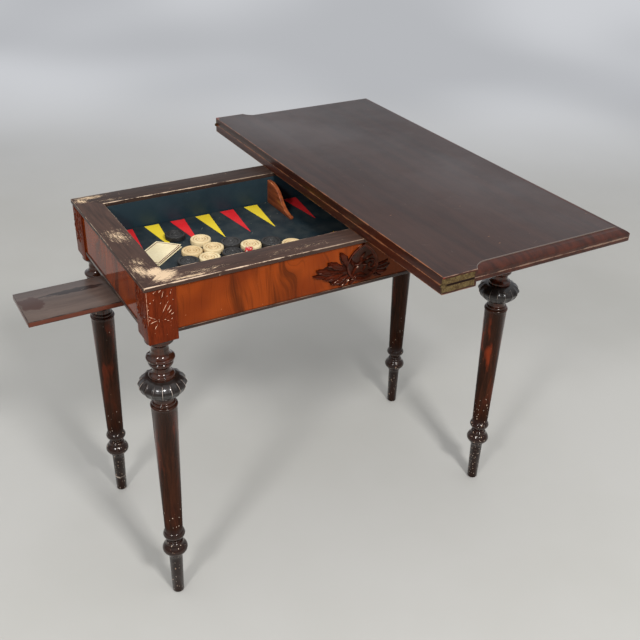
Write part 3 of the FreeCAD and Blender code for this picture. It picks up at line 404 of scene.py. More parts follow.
class Finish:
    """A material that is built up in layers."""

    def __init__(self, name, colour=None, roughness=0.5):
        self.material = bpy.data.materials.new(name)
        self.material.use_nodes = True
        self.tree = self.material.node_tree
        self.shader = self.tree.nodes["Principled BSDF"]
        self.place = put(self.tree, "ShaderNodeTexCoord").outputs["Object"]
        self.colour = colour
        self.roughness = roughness
        self.heights = []

    def turned(self, middle=(0, 0, 0), angles=(0, 0, 0)):
        """Object coordinates moved to a middle and turned, so that a pattern lies along a board."""
        return put(self.tree, "ShaderNodeMapping", {"Vector": self.place, "Location": middle,
                   "Rotation": angles}, vector_type="TEXTURE").outputs[0]

    def use(self, group, inputs):
        """The outputs of a shared group, placed with its own values."""
        return put(self.tree, "ShaderNodeGroup", inputs, node_tree=group).outputs

    def number(self, name):
        """A number that the mesh carries on its vertices."""
        return put(self.tree, "ShaderNodeAttribute", attribute_name=name).outputs["Fac"]

    def grained(self, where, light, dark, streak):
        """The outputs of the wood grain, with its streaks along the X of where."""
        return self.use(WOOD_GRAIN, {"Position": where, "Light": light, "Dark": dark, "Streak": streak * MM})

    def grain(self, where, light, dark, streak):
        """Bare wood, with the relief of its fibres."""
        made = self.grained(where, light, dark, streak)
        self.colour = made["Colour"]
        self.heights.append((made["Fibres"], FIBRE_RELIEF * MM))

    def over(self, mask, colour=None, roughness=None):
        """A layer over what is there, where the mask is white."""
        if colour is not None:
            self.colour = blend(mask, self.colour, colour)
        if roughness is not None:
            self.roughness = put(self.tree, "ShaderNodeMix",
                                 {0: mask, 2: self.roughness, 3: roughness}).outputs[0]

    def wear(self, low, high, reach, colour, roughness=None, within=1.0):
        """Rubbed edges of a board between two corners."""
        mask = self.use(EDGE_WEAR, {"Position": self.place, "Low corner": low, "High corner": high,
                                    "Reach": reach * MM})["Wear"]
        self.over(times(mask, within), colour, roughness)

    def marks(self, size, share, colour, roughness=None, where=None):
        """Round specks of one size, or long ones of three sizes."""
        sizes = size if isinstance(size, tuple) else (size, size, size)
        mask = self.use(SMALL_MARKS, {"Position": where or self.place, "Size": Vector(sizes) * MM,
                                      "Share": share})["Marks"]
        self.over(mask, colour, roughness)

    def scratches(self, size, share, colour):
        """Long marks in a few directions."""
        for angle in SCRATCH_ANGLES:
            self.marks(size, share, colour, where=self.turned(angles=(0, 0, angle)))

    def patch(self, centre, reach, streaks, fill, colour, roughness=None, turn=0.0):
        """A rubbed patch about one place, its streaks turned."""
        mask = self.use(RUBBED_PATCH, {"Position": self.turned(centre, (0, 0, turn)),
                                       "Reach": Vector(reach) * MM, "Streaks": streaks, "Fill": fill})["Mask"]
        self.over(mask, colour, roughness)

    def drift(self, scale, amount, colour):
        """Slow changes of tone."""
        self.over(fade(cloud(self.place, scale, 4.0), 0.35, 0.7, 0.0, amount), colour)

    def pitted(self, scale, detail, depth):
        """Fine relief all over."""
        self.heights.append((cloud(self.place, scale, detail), depth * MM))

    def seal(self, coat=0.0, coat_roughness=0.12, metallic=0.0, specular=0.22, shine=(1, 1, 1, 1)):
        """Connects the layers to the shader."""
        layers = {"Base Color": self.colour, "Roughness": self.roughness, "Coat Weight": coat}
        for label, value in layers.items():
            if isinstance(value, bpy.types.NodeSocket):
                self.tree.links.new(value, self.shader.inputs[label])
            else:
                self.shader.inputs[label].default_value = value
        self.shader.inputs["Metallic"].default_value = metallic
        self.shader.inputs["Specular IOR Level"].default_value = specular
        self.shader.inputs["Specular Tint"].default_value = shine
        self.shader.inputs["Coat Roughness"].default_value = coat_roughness
        below = None
        for height, relief in self.heights:
            bump = put(self.tree, "ShaderNodeBump", {"Height": height, "Distance": relief})
            if below is not None:
                self.tree.links.new(below, bump.inputs["Normal"])
            below = bump.outputs[0]
        if below is not None:
            self.tree.links.new(below, self.shader.inputs["Normal"])
        return self.material


print("finishes can be built")

# %% [markdown]
# ## Softened edges on the boards
# A real board has no knife edge: its arrises are eased with a plane and rubbed by hands. The CAD boards keep
# their meshes, and a Weld and a Bevel modifier ease the edges. A small geometry graph then shades gentle
# edges smooth and leaves square ones sharp.

# %% Easing of boards
SHARP_ANGLE = math.radians(32)
WELD_REACH = 0.01
EASE_SEGMENTS = 3
ALONG_X = (0.0, 0.0, 0.0)
ALONG_Y = (0.0, 0.0, QUARTER)
ALONG_Z = (0.0, QUARTER, 0.0)

smooth_tree = bpy.data.node_groups.new("Smooth gentle edges", "GeometryNodeTree")
for way_through in ("INPUT", "OUTPUT"):
    smooth_tree.interface.new_socket("Geometry", in_out=way_through, socket_type="NodeSocketGeometry")
smooth_tree.is_modifier = True
board_in = smooth_tree.nodes.new("NodeGroupInput").outputs[0]
all_smooth = put(smooth_tree, "GeometryNodeSetShadeSmooth", {0: board_in}, domain="FACE").outputs[0]
gentle = reckon("LESS_THAN", put(smooth_tree, "GeometryNodeInputMeshEdgeAngle").outputs[0], SHARP_ANGLE)
edges_set = put(smooth_tree, "GeometryNodeSetShadeSmooth", {0: all_smooth, "Shade Smooth": gentle},
                domain="EDGE").outputs[0]
smooth_tree.links.new(edges_set, smooth_tree.nodes.new("NodeGroupOutput").inputs[0])


def dress(node_name, material, ease=0.0):
    """Gives a CAD node its finish, with its edges eased by some tenths of a millimetre."""
    node = nodes[node_name]
    node.data.materials.clear()
    node.data.materials.append(material)
    weld = node.modifiers.new("weld", "WELD")
    weld.merge_threshold = WELD_REACH * MM
    if ease:
        bevel = node.modifiers.new("eased edges", "BEVEL")
        bevel.width = ease * MM
        bevel.segments = EASE_SEGMENTS
        bevel.limit_method = "ANGLE"
        bevel.angle_limit = SHARP_ANGLE
        bevel.use_clamp_overlap = True
    smooth = node.modifiers.new("smooth", "NODES")
    smooth.node_group = smooth_tree


print("boards can be dressed")

# %% [markdown]
# ## The folding top
# Both leaves are dark polished boards, dulled by use, with the grain along their length. Their edges and the
# moulding show redder wood, and the arrises are rubbed to orange. Along the end mouldings, which start in a
# round sweep, runs a painted pale highlight line. One function makes the finish of each leaf, because the
# rubbed edges follow the leaf's own corners.

# %% Leaves
EDGE_SKIN_OUTER = 0.36 * MM
EDGE_SKIN_INNER = 0.9 * MM
STOP_CENTRE = 101.8 * MM
STOP_BEYOND = 14.9 * MM
STOP_RADIUS = 35.1 * MM
FULL = 1.0
BROKEN = 0.62
CORNER_STREAKS = (60.0, 60.0, 60.0)


def moulding_highlight(made, node_name):
    """The painted highlight line along the end mouldings on a leaf's outer face, and how far the ends are."""
    low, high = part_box(node_name)
    across, along, height = axes_of(made.place)
    from_end = reckon("MINIMUM", reckon("SUBTRACT", along, low.y), reckon("SUBTRACT", high.y, along))
    before = reckon("MINIMUM", reckon("SUBTRACT", across, low.x + STOP_CENTRE), 0.0)
    inward = reckon("ADD", from_end, STOP_BEYOND)
    reach = reckon("SQRT", reckon("ADD", times(before, before), times(inward, inward)))
    outer_face = high.z if node_name == "upper_leaf" else low.z
    on_line = fall(apart(reach, STOP_RADIUS), 0.5 * MM, 1.2 * MM, 0.55)
    return times(on_line, fall(apart(height, outer_face), 1.2 * MM, 2.0 * MM)), from_end


def leaf_finish(name, node_name):
    """Dark dulled polish above and below, redder wood on the edges and the moulding."""
    low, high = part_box(node_name)
    made = Finish(name, roughness=0.36)
    made.grain(made.turned((low.x, 0, 0), ALONG_Y), tint(57, 35, 28), tint(40, 24, 20), streak=20)
    made.drift(4.0, 0.35, tint(56, 39, 33))
    made.scratches((24, 0.6, 6), 0.012, tint(110, 92, 82))
    made.marks(1.4, 0.012, tint(140, 120, 106))
    made.over(fade(cloud(made.place, 7.0, 4.0), 0.35, 0.7), roughness=0.46)
    height = axes_of(made.place)[2]
    edge = times(fade(height, low.z + EDGE_SKIN_OUTER, low.z + EDGE_SKIN_INNER),
                 fall(height, high.z - EDGE_SKIN_INNER, high.z - EDGE_SKIN_OUTER))
    edge_wood = made.grained(made.turned(angles=ALONG_Y), tint(70, 31, 18), tint(44, 19, 11), streak=12)
    made.over(edge, edge_wood["Colour"], 0.34)
    painted_moulding_highlight, from_end = moulding_highlight(made, node_name)
    made.wear(low, high, 1.7, tint(146, 92, 60))
    made.wear(low, high, 1.2, tint(128, 112, 100), within=fall(from_end, 2 * MM, 4 * MM))
    # Painted highlight along the end mouldings.
    made.over(painted_moulding_highlight, tint(132, 122, 114))
    for end in (low.y, high.y):
        made.patch((low.x, end, high.z), (24, 20, 8), CORNER_STREAKS, BROKEN, tint(112, 42, 26))
    made.marks((6, 2.0, 2.0), 0.015, tint(130, 92, 68))
    made.marks((9, 2.6, 2.6), 0.05, tint(48, 26, 18))
    return made.seal(coat=fall(edge, 0.0, 1.0, 0.2), coat_roughness=0.18, specular=0.3)


for leaf in ("lower_leaf", "upper_leaf"):
    dress(leaf, leaf_finish(leaf + "_polish", leaf), ease=0.8)
print("leaves dressed")

# %% [markdown]
# ## The rim round the well
# Four mitred boards, dark and dry, with the polish rubbed through to bare tan wood at the front left corner
# and along the front edge. Paint on the vertices could show that, but a board has only a few vertices. So the
# rubbed places are patches about points measured on the table, each with its reach, how full it is and how its
# streaks turn.

# %% Rubbed places of the rim
BARE_WOOD = tint(214, 186, 152)
RUBBED_WOOD = tint(150, 124, 104)
SOLID = 0.9
HALF = 0.5
THIN = 0.42
FAINT = 0.3
SLANT = 0.22
PATCHES = {
    "front_rim": [((-366, -176), (44, 34), SOLID, SLANT), ((-330, -199), (80, 10), BROKEN, 0.0),
                  ((-300, -188), (90, 16), THIN, 0.0), ((-120, -186), (150, 18), FAINT, 0.0)],
    "left_rim": [((-394, -146), (22, 50), BROKEN, SLANT), ((-372, -160), (30, 30), SOLID, SLANT),
                 ((-384, 2), (36, 66), HALF, SLANT), ((-388, -112), (28, 40), THIN, SLANT),
                 ((-396, 186), (26, 22), BROKEN, SLANT)],
    "back_rim": [((-380, 196), (60, 18), BROKEN, 0.0), ((-345, 170), (44, 14), THIN, 0.0)],
    "right_rim": [((390, -190), (30, 24), THIN, SLANT), ((380, 40), (24, 50), FAINT, 0.0)],
}
PATCH_DEPTH = 12.0
PATCH_BORDER = 1.2
LENGTHWISE_STREAKS = (60.0, 640.0, 60.0)
CROSSWISE_STREAKS = (640.0, 60.0, 60.0)
print("rubbed places:", sum(len(patches) for patches in PATCHES.values()))

# %% Rim boards
RIM_WEAR_AND_HIGHLIGHT = {"front_rim": 1.8, "left_rim": 0.5, "back_rim": 1.7, "right_rim": 1.2}
RIM_TONES = (tint(80, 57, 47), tint(52, 37, 31))
BACK_RIM_SHADED_TONES = (tint(62, 46, 39), tint(40, 30, 26))
RIM_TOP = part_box("front_rim")[1].z / MM
WEAR_AND_HIGHLIGHT_TO = at(-220, 0, 0).x
WEAR_AND_HIGHLIGHT_LESS = at(-40, 0, 0).x
for rim, patches in PATCHES.items():
    low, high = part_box(rim)
    lengthwise = rim in ("front_rim", "back_rim")
    streaks = LENGTHWISE_STREAKS if lengthwise else CROSSWISE_STREAKS
    made = Finish(rim + "_polish", roughness=0.42)
    # The back rim takes darker tones than the other rims: painted shade on the same wood.
    light, dark = BACK_RIM_SHADED_TONES if rim == "back_rim" else RIM_TONES
    made.grain(made.turned(angles=ALONG_X if lengthwise else ALONG_Y), light, dark, streak=7)
    made.drift(9.0, 0.5, tint(66, 49, 42))
    made.scratches((16, 0.8, 5), 0.04, RUBBED_WOOD)
    for (x, y), reach, fill, turn in patches:
        reach = Vector((*reach, PATCH_DEPTH))
        made.patch(at(x, y, RIM_TOP), reach * PATCH_BORDER, streaks, fill, RUBBED_WOOD, 0.55, turn)
        made.patch(at(x, y, RIM_TOP), reach, streaks, fill, BARE_WOOD, 0.62, turn)
    axes = axes_of(made.place)
    near_top = fade(axes[2], high.z - 4 * MM, high.z - 2 * MM)
    near_left = fade(axes[0], WEAR_AND_HIGHLIGHT_TO, WEAR_AND_HIGHLIGHT_LESS, FULL, 0.4)
    # A pale line on the top edges, strongest at the left: partly rubbed wear, partly a painted highlight.
    made.wear(low, high, RIM_WEAR_AND_HIGHLIGHT[rim], tint(226, 198, 170), 0.5, times(near_top, near_left))
    dress(rim, made.seal(coat=0.04, coat_roughness=0.25, specular=0.14), ease=0.7)
print("rim boards:", ", ".join(PATCHES))

# %% [markdown]
# ## Veneered rails
# The rails carry a warm orange-brown veneer whose figure runs in dark bands and swirls. Noise that is drawn
# out along the bands, and pushed aside by a second noise, gives both. The polish is glossy. The front rail
# carries a painted shadow of the overhanging top, round the carving and to its right.

# %% Veneer group
VENEER, given, result = open_group(
    "Figured veneer",
    {"Position": "Vector", "Light": "Color", "Middle": "Color", "Dark": "Color"},
    {"Colour": "Color", "Figure": "Float"})
VENEER_SQUEEZE = (1.0, 1.0, 0.45)
VENEER_PUSH = (0.16, 0.0, 0.1)
BANDS_DRAWN = (1.0, 0.0, 0.22)
THREADS_DRAWN = (1.0, 0.0, 0.05)
squeezed = reckon_vector("MULTIPLY", given["Position"], VENEER_SQUEEZE)
push = put(VENEER, "ShaderNodeTexNoise", {"Vector": squeezed, "Scale": 7.0, "Detail": 2.0}).outputs[1]
pushed = reckon_vector("ADD", squeezed, reckon_vector("MULTIPLY", push, VENEER_PUSH))
bands = cloud(reckon_vector("MULTIPLY", pushed, BANDS_DRAWN), 38.0, 3.0, 0.6)
threads = cloud(reckon_vector("MULTIPLY", pushed, THREADS_DRAWN), 420.0, 2.0)
base = blend(fade(cloud(given["Position"], 9.0, 2.0), 0.35, 0.65), given["Middle"], given["Light"])
figured = blend(fade(bands, 0.48, 0.72, 0.0, 0.75), base, given["Dark"])
VENEER.links.new(blend(fade(threads, 0.52, 0.75, 0.0, 0.45), figured, given["Dark"]), result["Colour"])
VENEER.links.new(bands, result["Figure"])
print("group:", VENEER.name)

# %% Rails
RAIL_LIES = {"front_rail": ALONG_X, "back_rail": ALONG_X, "left_rail": ALONG_Y, "right_rail": ALONG_Y}
RAIL_SPECULAR = {"front_rail": 0.2, "back_rail": 0.2, "left_rail": 0.1, "right_rail": 0.2}
# Where the painted shadow of the top on the front rail starts, is full, eases and ends.
LEAF_SHADOW_FROM = at(-40, 0, 0).x
LEAF_SHADOW_FULL = at(50, 0, 0).x
LEAF_SHADOW_UNTIL = at(110, 0, 0).x
LEAF_SHADOW_END = at(260, 0, 0).x
for rail, lies in RAIL_LIES.items():
    low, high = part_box(rail)
    made = Finish(rail + "_veneer", roughness=0.07)
    veneer = made.use(VENEER, {"Position": made.turned(low, lies), "Light": tint(138, 58, 17),
                               "Middle": tint(112, 42, 12), "Dark": tint(58, 22, 8)})
    made.colour = veneer["Colour"]
    made.over(veneer["Figure"], roughness=0.12)
    if rail == "front_rail":
        # Painted shadow of the overhanging top: darker from left of the carving, easing again towards the
        # right end.
        along = axes_of(made.place)[0]
        painted_shadow_rise = fade(along, LEAF_SHADOW_FROM, LEAF_SHADOW_FULL, 0.0, 0.62)
        painted_shadow_fall = fade(along, LEAF_SHADOW_UNTIL, LEAF_SHADOW_END, FULL, 0.3)
        made.over(times(painted_shadow_rise, painted_shadow_fall), tint(50, 20, 9))
    made.wear(low, high, 1.5, tint(88, 44, 24))
    made.marks(1.6, 0.02, tint(196, 132, 86))
    dress(rail, made.seal(specular=RAIL_SPECULAR[rail], shine=ORANGE_SHINE))
print("rails veneered:", ", ".join(RAIL_LIES))

# %% [markdown]
# ## Bead strips
# A thin dark strip closes the foot of each rail, and its lower edge is rubbed to a pale line. The CAD strip
# has the right shape already, so it is kept, and only grain, wear and eased edges are new.

# %% Beads
BEAD_LIES = {"front_bead": ALONG_X, "back_bead": ALONG_X, "left_bead": ALONG_Y, "right_bead": ALONG_Y}
for bead, lies in BEAD_LIES.items():
    low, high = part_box(bead)
    made = Finish(bead + "_dark", roughness=0.3)
    made.grain(made.turned(angles=lies), tint(58, 36, 28), tint(28, 18, 15), streak=6)
    made.wear(low, high, 0.9, tint(130, 100, 80))
    dress(bead, made.seal(coat=0.3), ease=0.4)
print("bead strips:", ", ".join(BEAD_LIES))

# %% [markdown]
# ## The well
# The well is painted a dark teal, matt and a little dusty, and the points of the board are painted on its
# floor in red and yellow. Paint has a fine orange-peel relief and a few chips, so one function paints all of
# them with their own colours. The S-curved dividers are plain polished wood.

# %% Well paint


def paint_finish(name, colour, shade, dust, dust_share):
    """Matt paint with slow changes of tone and specks of dust."""
    made = Finish(name, colour, roughness=0.5)
    made.drift(6.0, 0.5, shade)
    made.drift(30.0, 0.06, dust)
    made.marks(2.2, dust_share, dust)
    made.marks((18, 0.6, 6), dust_share, dust, where=made.turned(angles=(0, 0, 0.9)))
    made.pitted(900.0, 2.0, 0.08)
    return made.seal(coat=0.06, coat_roughness=0.4)


lining_paint = paint_finish("well_lining_paint", tint(29, 46, 54), tint(22, 36, 43), tint(84, 98, 102), 0.01)
floor_paint = paint_finish("well_floor_paint", tint(25, 37, 43), tint(19, 29, 34), tint(150, 148, 134), 0.04)
red_paint = paint_finish("red_point_paint", tint(206, 32, 38), tint(178, 24, 32), tint(232, 120, 110), 0.02)
yellow_paint = paint_finish("yellow_point_paint", tint(222, 196, 44), tint(196, 166, 30), tint(244, 226, 130),
                            0.02)
for lining in ("front_lining", "back_lining", "left_lining", "right_lining"):
    dress(lining, lining_paint, ease=0.4)
dress("well_floor", floor_paint)
dress("red_points", red_paint)
dress("yellow_points", yellow_paint)
print("well painted")

# %% Dividers
for divider in ("front_divider", "back_divider"):
    low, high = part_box(divider)
    made = Finish(divider + "_wood", roughness=0.32)
    made.grain(made.turned(angles=ALONG_Y), tint(150, 80, 44), tint(98, 46, 24), streak=8)
    made.wear(low, high, 1.6, tint(196, 128, 84))
    dress(divider, made.seal(coat=0.3), ease=0.8)
print("dividers dressed")

# %% [markdown]
# ## Candle slides
# Each slide is a grey-brown board, dulled by what stood on it, with a round stain at its outer end, a ragged
# dark streak along its length and red-brown edges. Both spills are patches on object coordinates, so they move
# with the slide. They are measured from its outer end, in millimetres along and in shares of its depth across.

# %% Slides
STREAK_SPOT = (105, 0.3)
STREAK_REACH = (105, 0.13)
STREAK_RAGGED = (36.0, 160.0, 60.0)
STAIN_SPOT = (22, 0.4)
STAIN_REACH = (44, 0.42)
STAIN_RAGGED = (20.0, 20.0, 20.0)
SPILL_DEPTH = 8
SPILLS = ((STREAK_SPOT, STREAK_REACH, STREAK_RAGGED, 1.15, tint(36, 24, 20)),
          (STAIN_SPOT, STAIN_REACH, STAIN_RAGGED, FULL, tint(64, 42, 35)))
for slide, inward in (("left_slide", 1), ("right_slide", -1)):
    low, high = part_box(slide)
    outer = low.x if inward > 0 else high.x
    depth = high.y - low.y
    made = Finish(slide + "_board", roughness=0.3)
    made.grain(made.turned(), tint(94, 79, 71), tint(74, 61, 55), streak=20)
    made.drift(11.0, 0.5, tint(82, 67, 59))
    for (along, back), (long_reach, wide_reach), ragged, fill, colour in SPILLS:
        made.patch((outer + inward * along * MM, high.y - back * depth, high.z),
                   (long_reach, wide_reach * depth / MM, SPILL_DEPTH), ragged, fill, colour)
    below_top = fall(axes_of(made.place)[2], high.z - 1.4 * MM, high.z - 0.7 * MM)
    made.over(below_top, tint(92, 44, 28))
    made.wear(low, high, 2.0, tint(38, 25, 21))
    made.scratches((14, 0.7, 5), 0.03, tint(140, 124, 112))
    dress(slide, made.seal(coat=0.2, coat_roughness=0.14), ease=0.9)
print("slides dressed")

# %% [markdown]
# ## Hinge brass, iron and plain inner wood
# The hinge plates are dull pitted brass. Their screws sit flush in their countersinks and take the same
# brass, because their slots have long been filled with polish. The pivot's iron and the inner rails and
# runners are never polished: they only need honest wood and metal.

# %% Hinge plates, pins and screws
LEAF_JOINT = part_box("upper_leaf")[0].z
KNUCKLE = 7 * MM


def brass_finish(name, node_name=None):
    """Brown pitted brass; past the knuckle, old dark polish covers each plate's border along the joint."""
    made = Finish(name, tint(130, 110, 70), roughness=0.42)
    made.drift(120.0, 0.9, tint(84, 62, 38))
    made.drift(420.0, 0.7, tint(56, 42, 28))
    made.marks(2.0, 0.16, tint(46, 34, 24), roughness=0.6)
    made.marks(1.4, 0.08, tint(176, 148, 92), roughness=0.35)
    if node_name:
        low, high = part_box(node_name)
        axes = axes_of(made.place)
        past_knuckle = fade(axes[0], low.x + KNUCKLE, low.x + KNUCKLE * 2)
        at_joint = fall(apart(axes[2], LEAF_JOINT), 1.6 * MM, 2.6 * MM)
        made.over(times(at_joint, past_knuckle), tint(36, 17, 11), 0.5)
        made.wear(low, high, 1.6, tint(50, 34, 24), 0.6)
    made.pitted(500.0, 3.0, 0.12)
    return made.seal(metallic=0.6)


dull_brass = brass_finish("dull_brass")
for plate in ("lower_plate_near", "lower_plate_far", "upper_plate_near", "upper_plate_far"):
    dress(plate, brass_finish(plate + "_brass", plate), ease=0.35)
for small_brass in ("hinge_pin_near", "hinge_pin_far", "lower_hinge_screws", "upper_hinge_screws"):
    dress(small_brass, dull_brass)
print("hinge brass dressed")

# %% Iron
iron = Finish("dark_iron", tint(62, 58, 56), roughness=0.45)
iron.drift(90.0, 0.8, tint(86, 62, 46))
iron.marks(1.6, 0.08, tint(116, 72, 44))
iron.pitted(600.0, 3.0, 0.1)
dark_iron = iron.seal(metallic=0.7)
IRON_EASE = {"pivot_bolt": 0.0, "pivot_washer": 0.0, "pivot_nut": 0.2, "pivot_screws": 0.0,
             "turn_stop_pin": 0.0}
for fitting, ease in IRON_EASE.items():
    dress(fitting, dark_iron, ease)
print("iron:", ", ".join(IRON_EASE))

# %% Inner wood
INNER_PIECES = {
    "inner_wood_lengthwise": (ALONG_X, ("front_cleat", "back_cleat", "left_runners", "right_runners")),
    "inner_wood_crosswise": (ALONG_Y, ("left_cleat", "right_cleat", "pivot_rail", "left_backstop",
                                       "right_backstop", "left_slide_stop", "right_slide_stop")),
}
for wood, (lies, inner_pieces) in INNER_PIECES.items():
    made = Finish(wood, roughness=0.6)
    made.grain(made.turned(angles=lies), tint(158, 116, 78), tint(112, 76, 48), streak=12)
    made.drift(10.0, 0.6, tint(92, 64, 44))
    made.marks((3, 1, 1), 0.03, tint(74, 50, 36))
    bare = made.seal()
    for inner in inner_pieces:
        dress(inner, bare, ease=0.6)
    print(wood, "on", len(inner_pieces), "pieces")

# %% [markdown]
# ## Finished pieces
# New pieces are built with bmesh and handed over by one helper. It writes the mesh at the origin, shades it,
# gives it its finishes, parents it to the body that it rides on and hides the plain CAD nodes it stands for.
# The other helpers are a lathe, which spins a profile of curves, and a plane for eased edges.

# %% Hand over a piece
PIECE_SHARP = math.radians(40)


def hand_over(name, bm, materials, body, replaced, sharp=PIECE_SHARP):
    """Turns a bmesh into a finished piece of the table."""
    bmesh.ops.recalc_face_normals(bm, faces=bm.faces)
    piece = make_object(name, bm)
    piece.data.set_sharp_from_angle(angle=sharp)
    for material in materials:
        piece.data.materials.append(material)
    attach(piece, body)
    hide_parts(*replaced)
    print(name, "has", len(piece.data.polygons), "faces")


def add_mesh(bm, part):
    """Adds one bmesh to another and frees it."""
    between = bpy.data.meshes.new("between")
    part.to_mesh(between)
    part.free()
    bm.from_mesh(between)
    bpy.data.meshes.remove(between)


print("pieces can be handed over")

# %% Lathe and plane
LATHE_WELD = 0.002
CURVE_STEPS = 12


def bowed(start, curves, steps=CURVE_STEPS):
    """Points along curves that swell to the left of the way from one end to the next."""
    points = [Vector(start)]
    for across_end, up_end, swell in curves:
        begin = points[-1].copy()
        end = Vector((across_end, up_end))
        way = end - begin
        left = Vector((-way.y, way.x)).normalized() if way.length else Vector((0, 0))
        count = steps if swell else 1
        for number in range(1, count + 1):
            share = number / count
            points.append(begin + way * share + left * swell * 4 * share * (1 - share))
    return points


def lathe(bm, foot, profile, steps):
    """Spins a profile in millimetres round the upright line through a foot."""
    line = [bm.verts.new(foot + Vector((point.x, 0, point.y)) * MM) for point in profile]
    edges = [bm.edges.new(pair) for pair in zip(line, line[1:])]
    bmesh.ops.spin(bm, geom=line + edges, axis=(0, 0, 1), cent=foot, angle=2 * math.pi, steps=steps,
                   use_merge=True)
    bmesh.ops.remove_doubles(bm, verts=bm.verts, dist=LATHE_WELD * MM)


def plane_edges(bm, edges, width, segments):
    """Rounds edges by a width in millimetres."""
    bmesh.ops.bevel(bm, geom=edges, offset=width * MM, offset_type="OFFSET", segments=segments, profile=0.5,
                    affect="EDGES", material=-1)


print("lathe and plane ready")

# %% [markdown]
# ## Carved leaves
# The posts and the front rail carry leaves cut by hand. They could be sculpted, but a spine that can be read
# and corrected is easier to repeat. Each leaf is a small grid that is bent along its spine, narrowed to a
# point, domed across and given a vein. Its border goes down into the wood, so the leaf is closed. A number on
# each vertex, called ridge, marks the crests that get a painted highlight.

# %% Spines and outlines
LEAF_TIP = 0.06
LEAF_BELLY = 0.8
LEAF_TAPER = 0.25
SCROLL_TAPER = 0.45
LOBE_TIP = 0.1
LOBE_ROOT = 0.16
LOBE_BELLY = 1.5
LOBE_NOTCHES = 3.5
LOBE_NOTCH = 0.16


def bend(root, middle, tip):
    """A spine from root to tip that leans towards the middle point."""
    def point(share):
        rest = 1.0 - share
        weights = (rest * rest, 2 * rest * share, share * share)
        return [sum(w * p[axis] for w, p in zip(weights, (root, middle, tip))) for axis in (0, 1)]
    return point


def curl(centre, outer, inner, start, turns):
    """A spine that winds inwards about a centre."""
    def point(share):
        radius = outer + (inner - outer) * share
        angle = start + turns * 2 * math.pi * share
        return [centre[0] + radius * math.cos(angle), centre[1] + radius * math.sin(angle)]
    return point


def leaf_width(share):
    """Narrow at the root, widest before the middle, pointed at the tip."""
    return max(LEAF_TIP, math.sin(math.pi * share ** LEAF_BELLY)) * (1.0 - LEAF_TAPER * share)


def scroll_width(share):
    """Nearly even, as for a scroll."""
    return 1.0 - SCROLL_TAPER * share


def even_width(share):
    """The same all along, as for a cut line."""
    return 1.0


def lobe_width(share):
    """A broad lobe of a curling leaf: notched along its sides, widest near its round tip."""
    notches = 1.0 - LOBE_NOTCH * math.sin(LOBE_NOTCHES * math.pi * share) ** 2
    grown = min(1.0, LOBE_ROOT + (1.0 - LOBE_ROOT) * share)
    return max(LOBE_TIP, math.sin(math.pi * grown ** LOBE_BELLY)) * notches


print("outlines: leaf, scroll, cut line and lobe")

# %% Leaf carving
LEAF_SINK = 1.2
SPINE_STEP = 0.01
VEIN_HALF = 0.22
DOME_ENDS = 0.75
CURL_SHARE = 0.62
BORDER_SIDE = 0.99
BORDER_SINK = 0.3
CREST_SIDE = 0.4
CREST_HALF = 0.3
CREST_GROWS = 3.0


def carve(bm, face, spine, width, height, along=10, across=4, vein=0.35, shape=leaf_width, lift=0.0,
          bright=1.0):
    """Adds one carved leaf on a face, whose place is given by a function of across, up and out."""
    ridge = bm.verts.layers.float.get("ridge") or bm.verts.layers.float.new("ridge")
    made = bmesh.ops.create_grid(bm, x_segments=along, y_segments=across, size=0.5)["verts"]
    for vert in made:
        share = vert.co.x + 0.5
        side = vert.co.y * 2.0
        here = spine(share)
        after = spine(min(1.0, share + SPINE_STEP))
        before = spine(max(0.0, share - SPINE_STEP))
        way = Vector((after[0] - before[0], after[1] - before[1])).normalized()
        half = width / 2 * shape(share)
        dome = math.sqrt(max(0.0, 1.0 - side * side))
        groove = vein * math.exp(-(side / VEIN_HALF) ** 2)
        crown = DOME_ENDS + (1.0 - DOME_ENDS) * math.sin(math.pi * share)
        curling = lift * math.sin(math.pi * min(1.0, share * CURL_SHARE))
        rise = dome * (height * (crown - groove) + curling)
        if abs(side) > BORDER_SIDE:
            rise = -BORDER_SINK
        crest = max(0.0, 1.0 - abs(abs(side) - CREST_SIDE) / CREST_HALF) if vein else dome
        # ridge: how strong the painted highlight on this crest is.
        vert[ridge] = bright * crest * min(1.0, share * CREST_GROWS)
        vert.co = face(here[0] - way.y * side * half, here[1] + way.x * side * half, rise)
    border = [edge for edge in {e for v in made for e in v.link_edges} if edge.is_boundary]
    skirt = bmesh.ops.extrude_edge_only(bm, edges=border)["geom"]
    bmesh.ops.translate(bm, verts=verts_in(skirt), vec=(face(0, 0, -LEAF_SINK) - face(0, 0, 0)))
    bmesh.ops.contextual_create(bm, geom=edges_in(skirt))


def carved_face(origin, across, out):
    """The place on a face: millimetres across, up and out from its origin."""
    def place(u, v, w):
        return origin + (across * u + Vector((0, 0, 1)) * v + out * w) * MM
    return place


print("leaves can be carved")

# %% [markdown]
# ## Finish of the carved and turned wood
# The turning is darker than the rails, with red-brown showing where the polish is thin and pale chips near
# the feet. The bulb is nearly black, and the post red-brown. The ridge numbers lay a painted highlight on
# carved crests and on the bulb's fillets, and painted shade in its grooves. Where a layer starts and ends on a
# leg is given by two heights in millimetres.

# %% Leg finish
SHAFT_RISES = (220, 400)
SHAFT_ENDS = (440, 468)
DARK_BELOW = (172, 200)
CHIPPED_BELOW = (90, 280)
RINGS_ABOVE = (464, 480)
BALL_ABOVE = (92, 104)
RING_BELOW = (165, 185)
FIGURE_DRAWN = (1, 1, 0.22)
CHIP_SIZES = (((1.5, 1.5, 2.2), tint(226, 208, 190)), ((2.0, 2.0, 3.0), tint(216, 194, 172)),
              ((3.0, 3.0, 6.0), tint(190, 160, 136)))


def between(height, heights, low, high):
    """A smooth step between two heights given in millimetres."""
    return fade(height, heights[0] * MM, heights[1] * MM, low, high)


def painted_crest_highlight(made):
    """Where the painted highlight lies on the crests of the carving, broken up a little."""
    return times(fade(made.number("ridge"), 0.3, 0.75), fade(cloud(made.place, 220.0, 3.0), 0.34, 0.52))


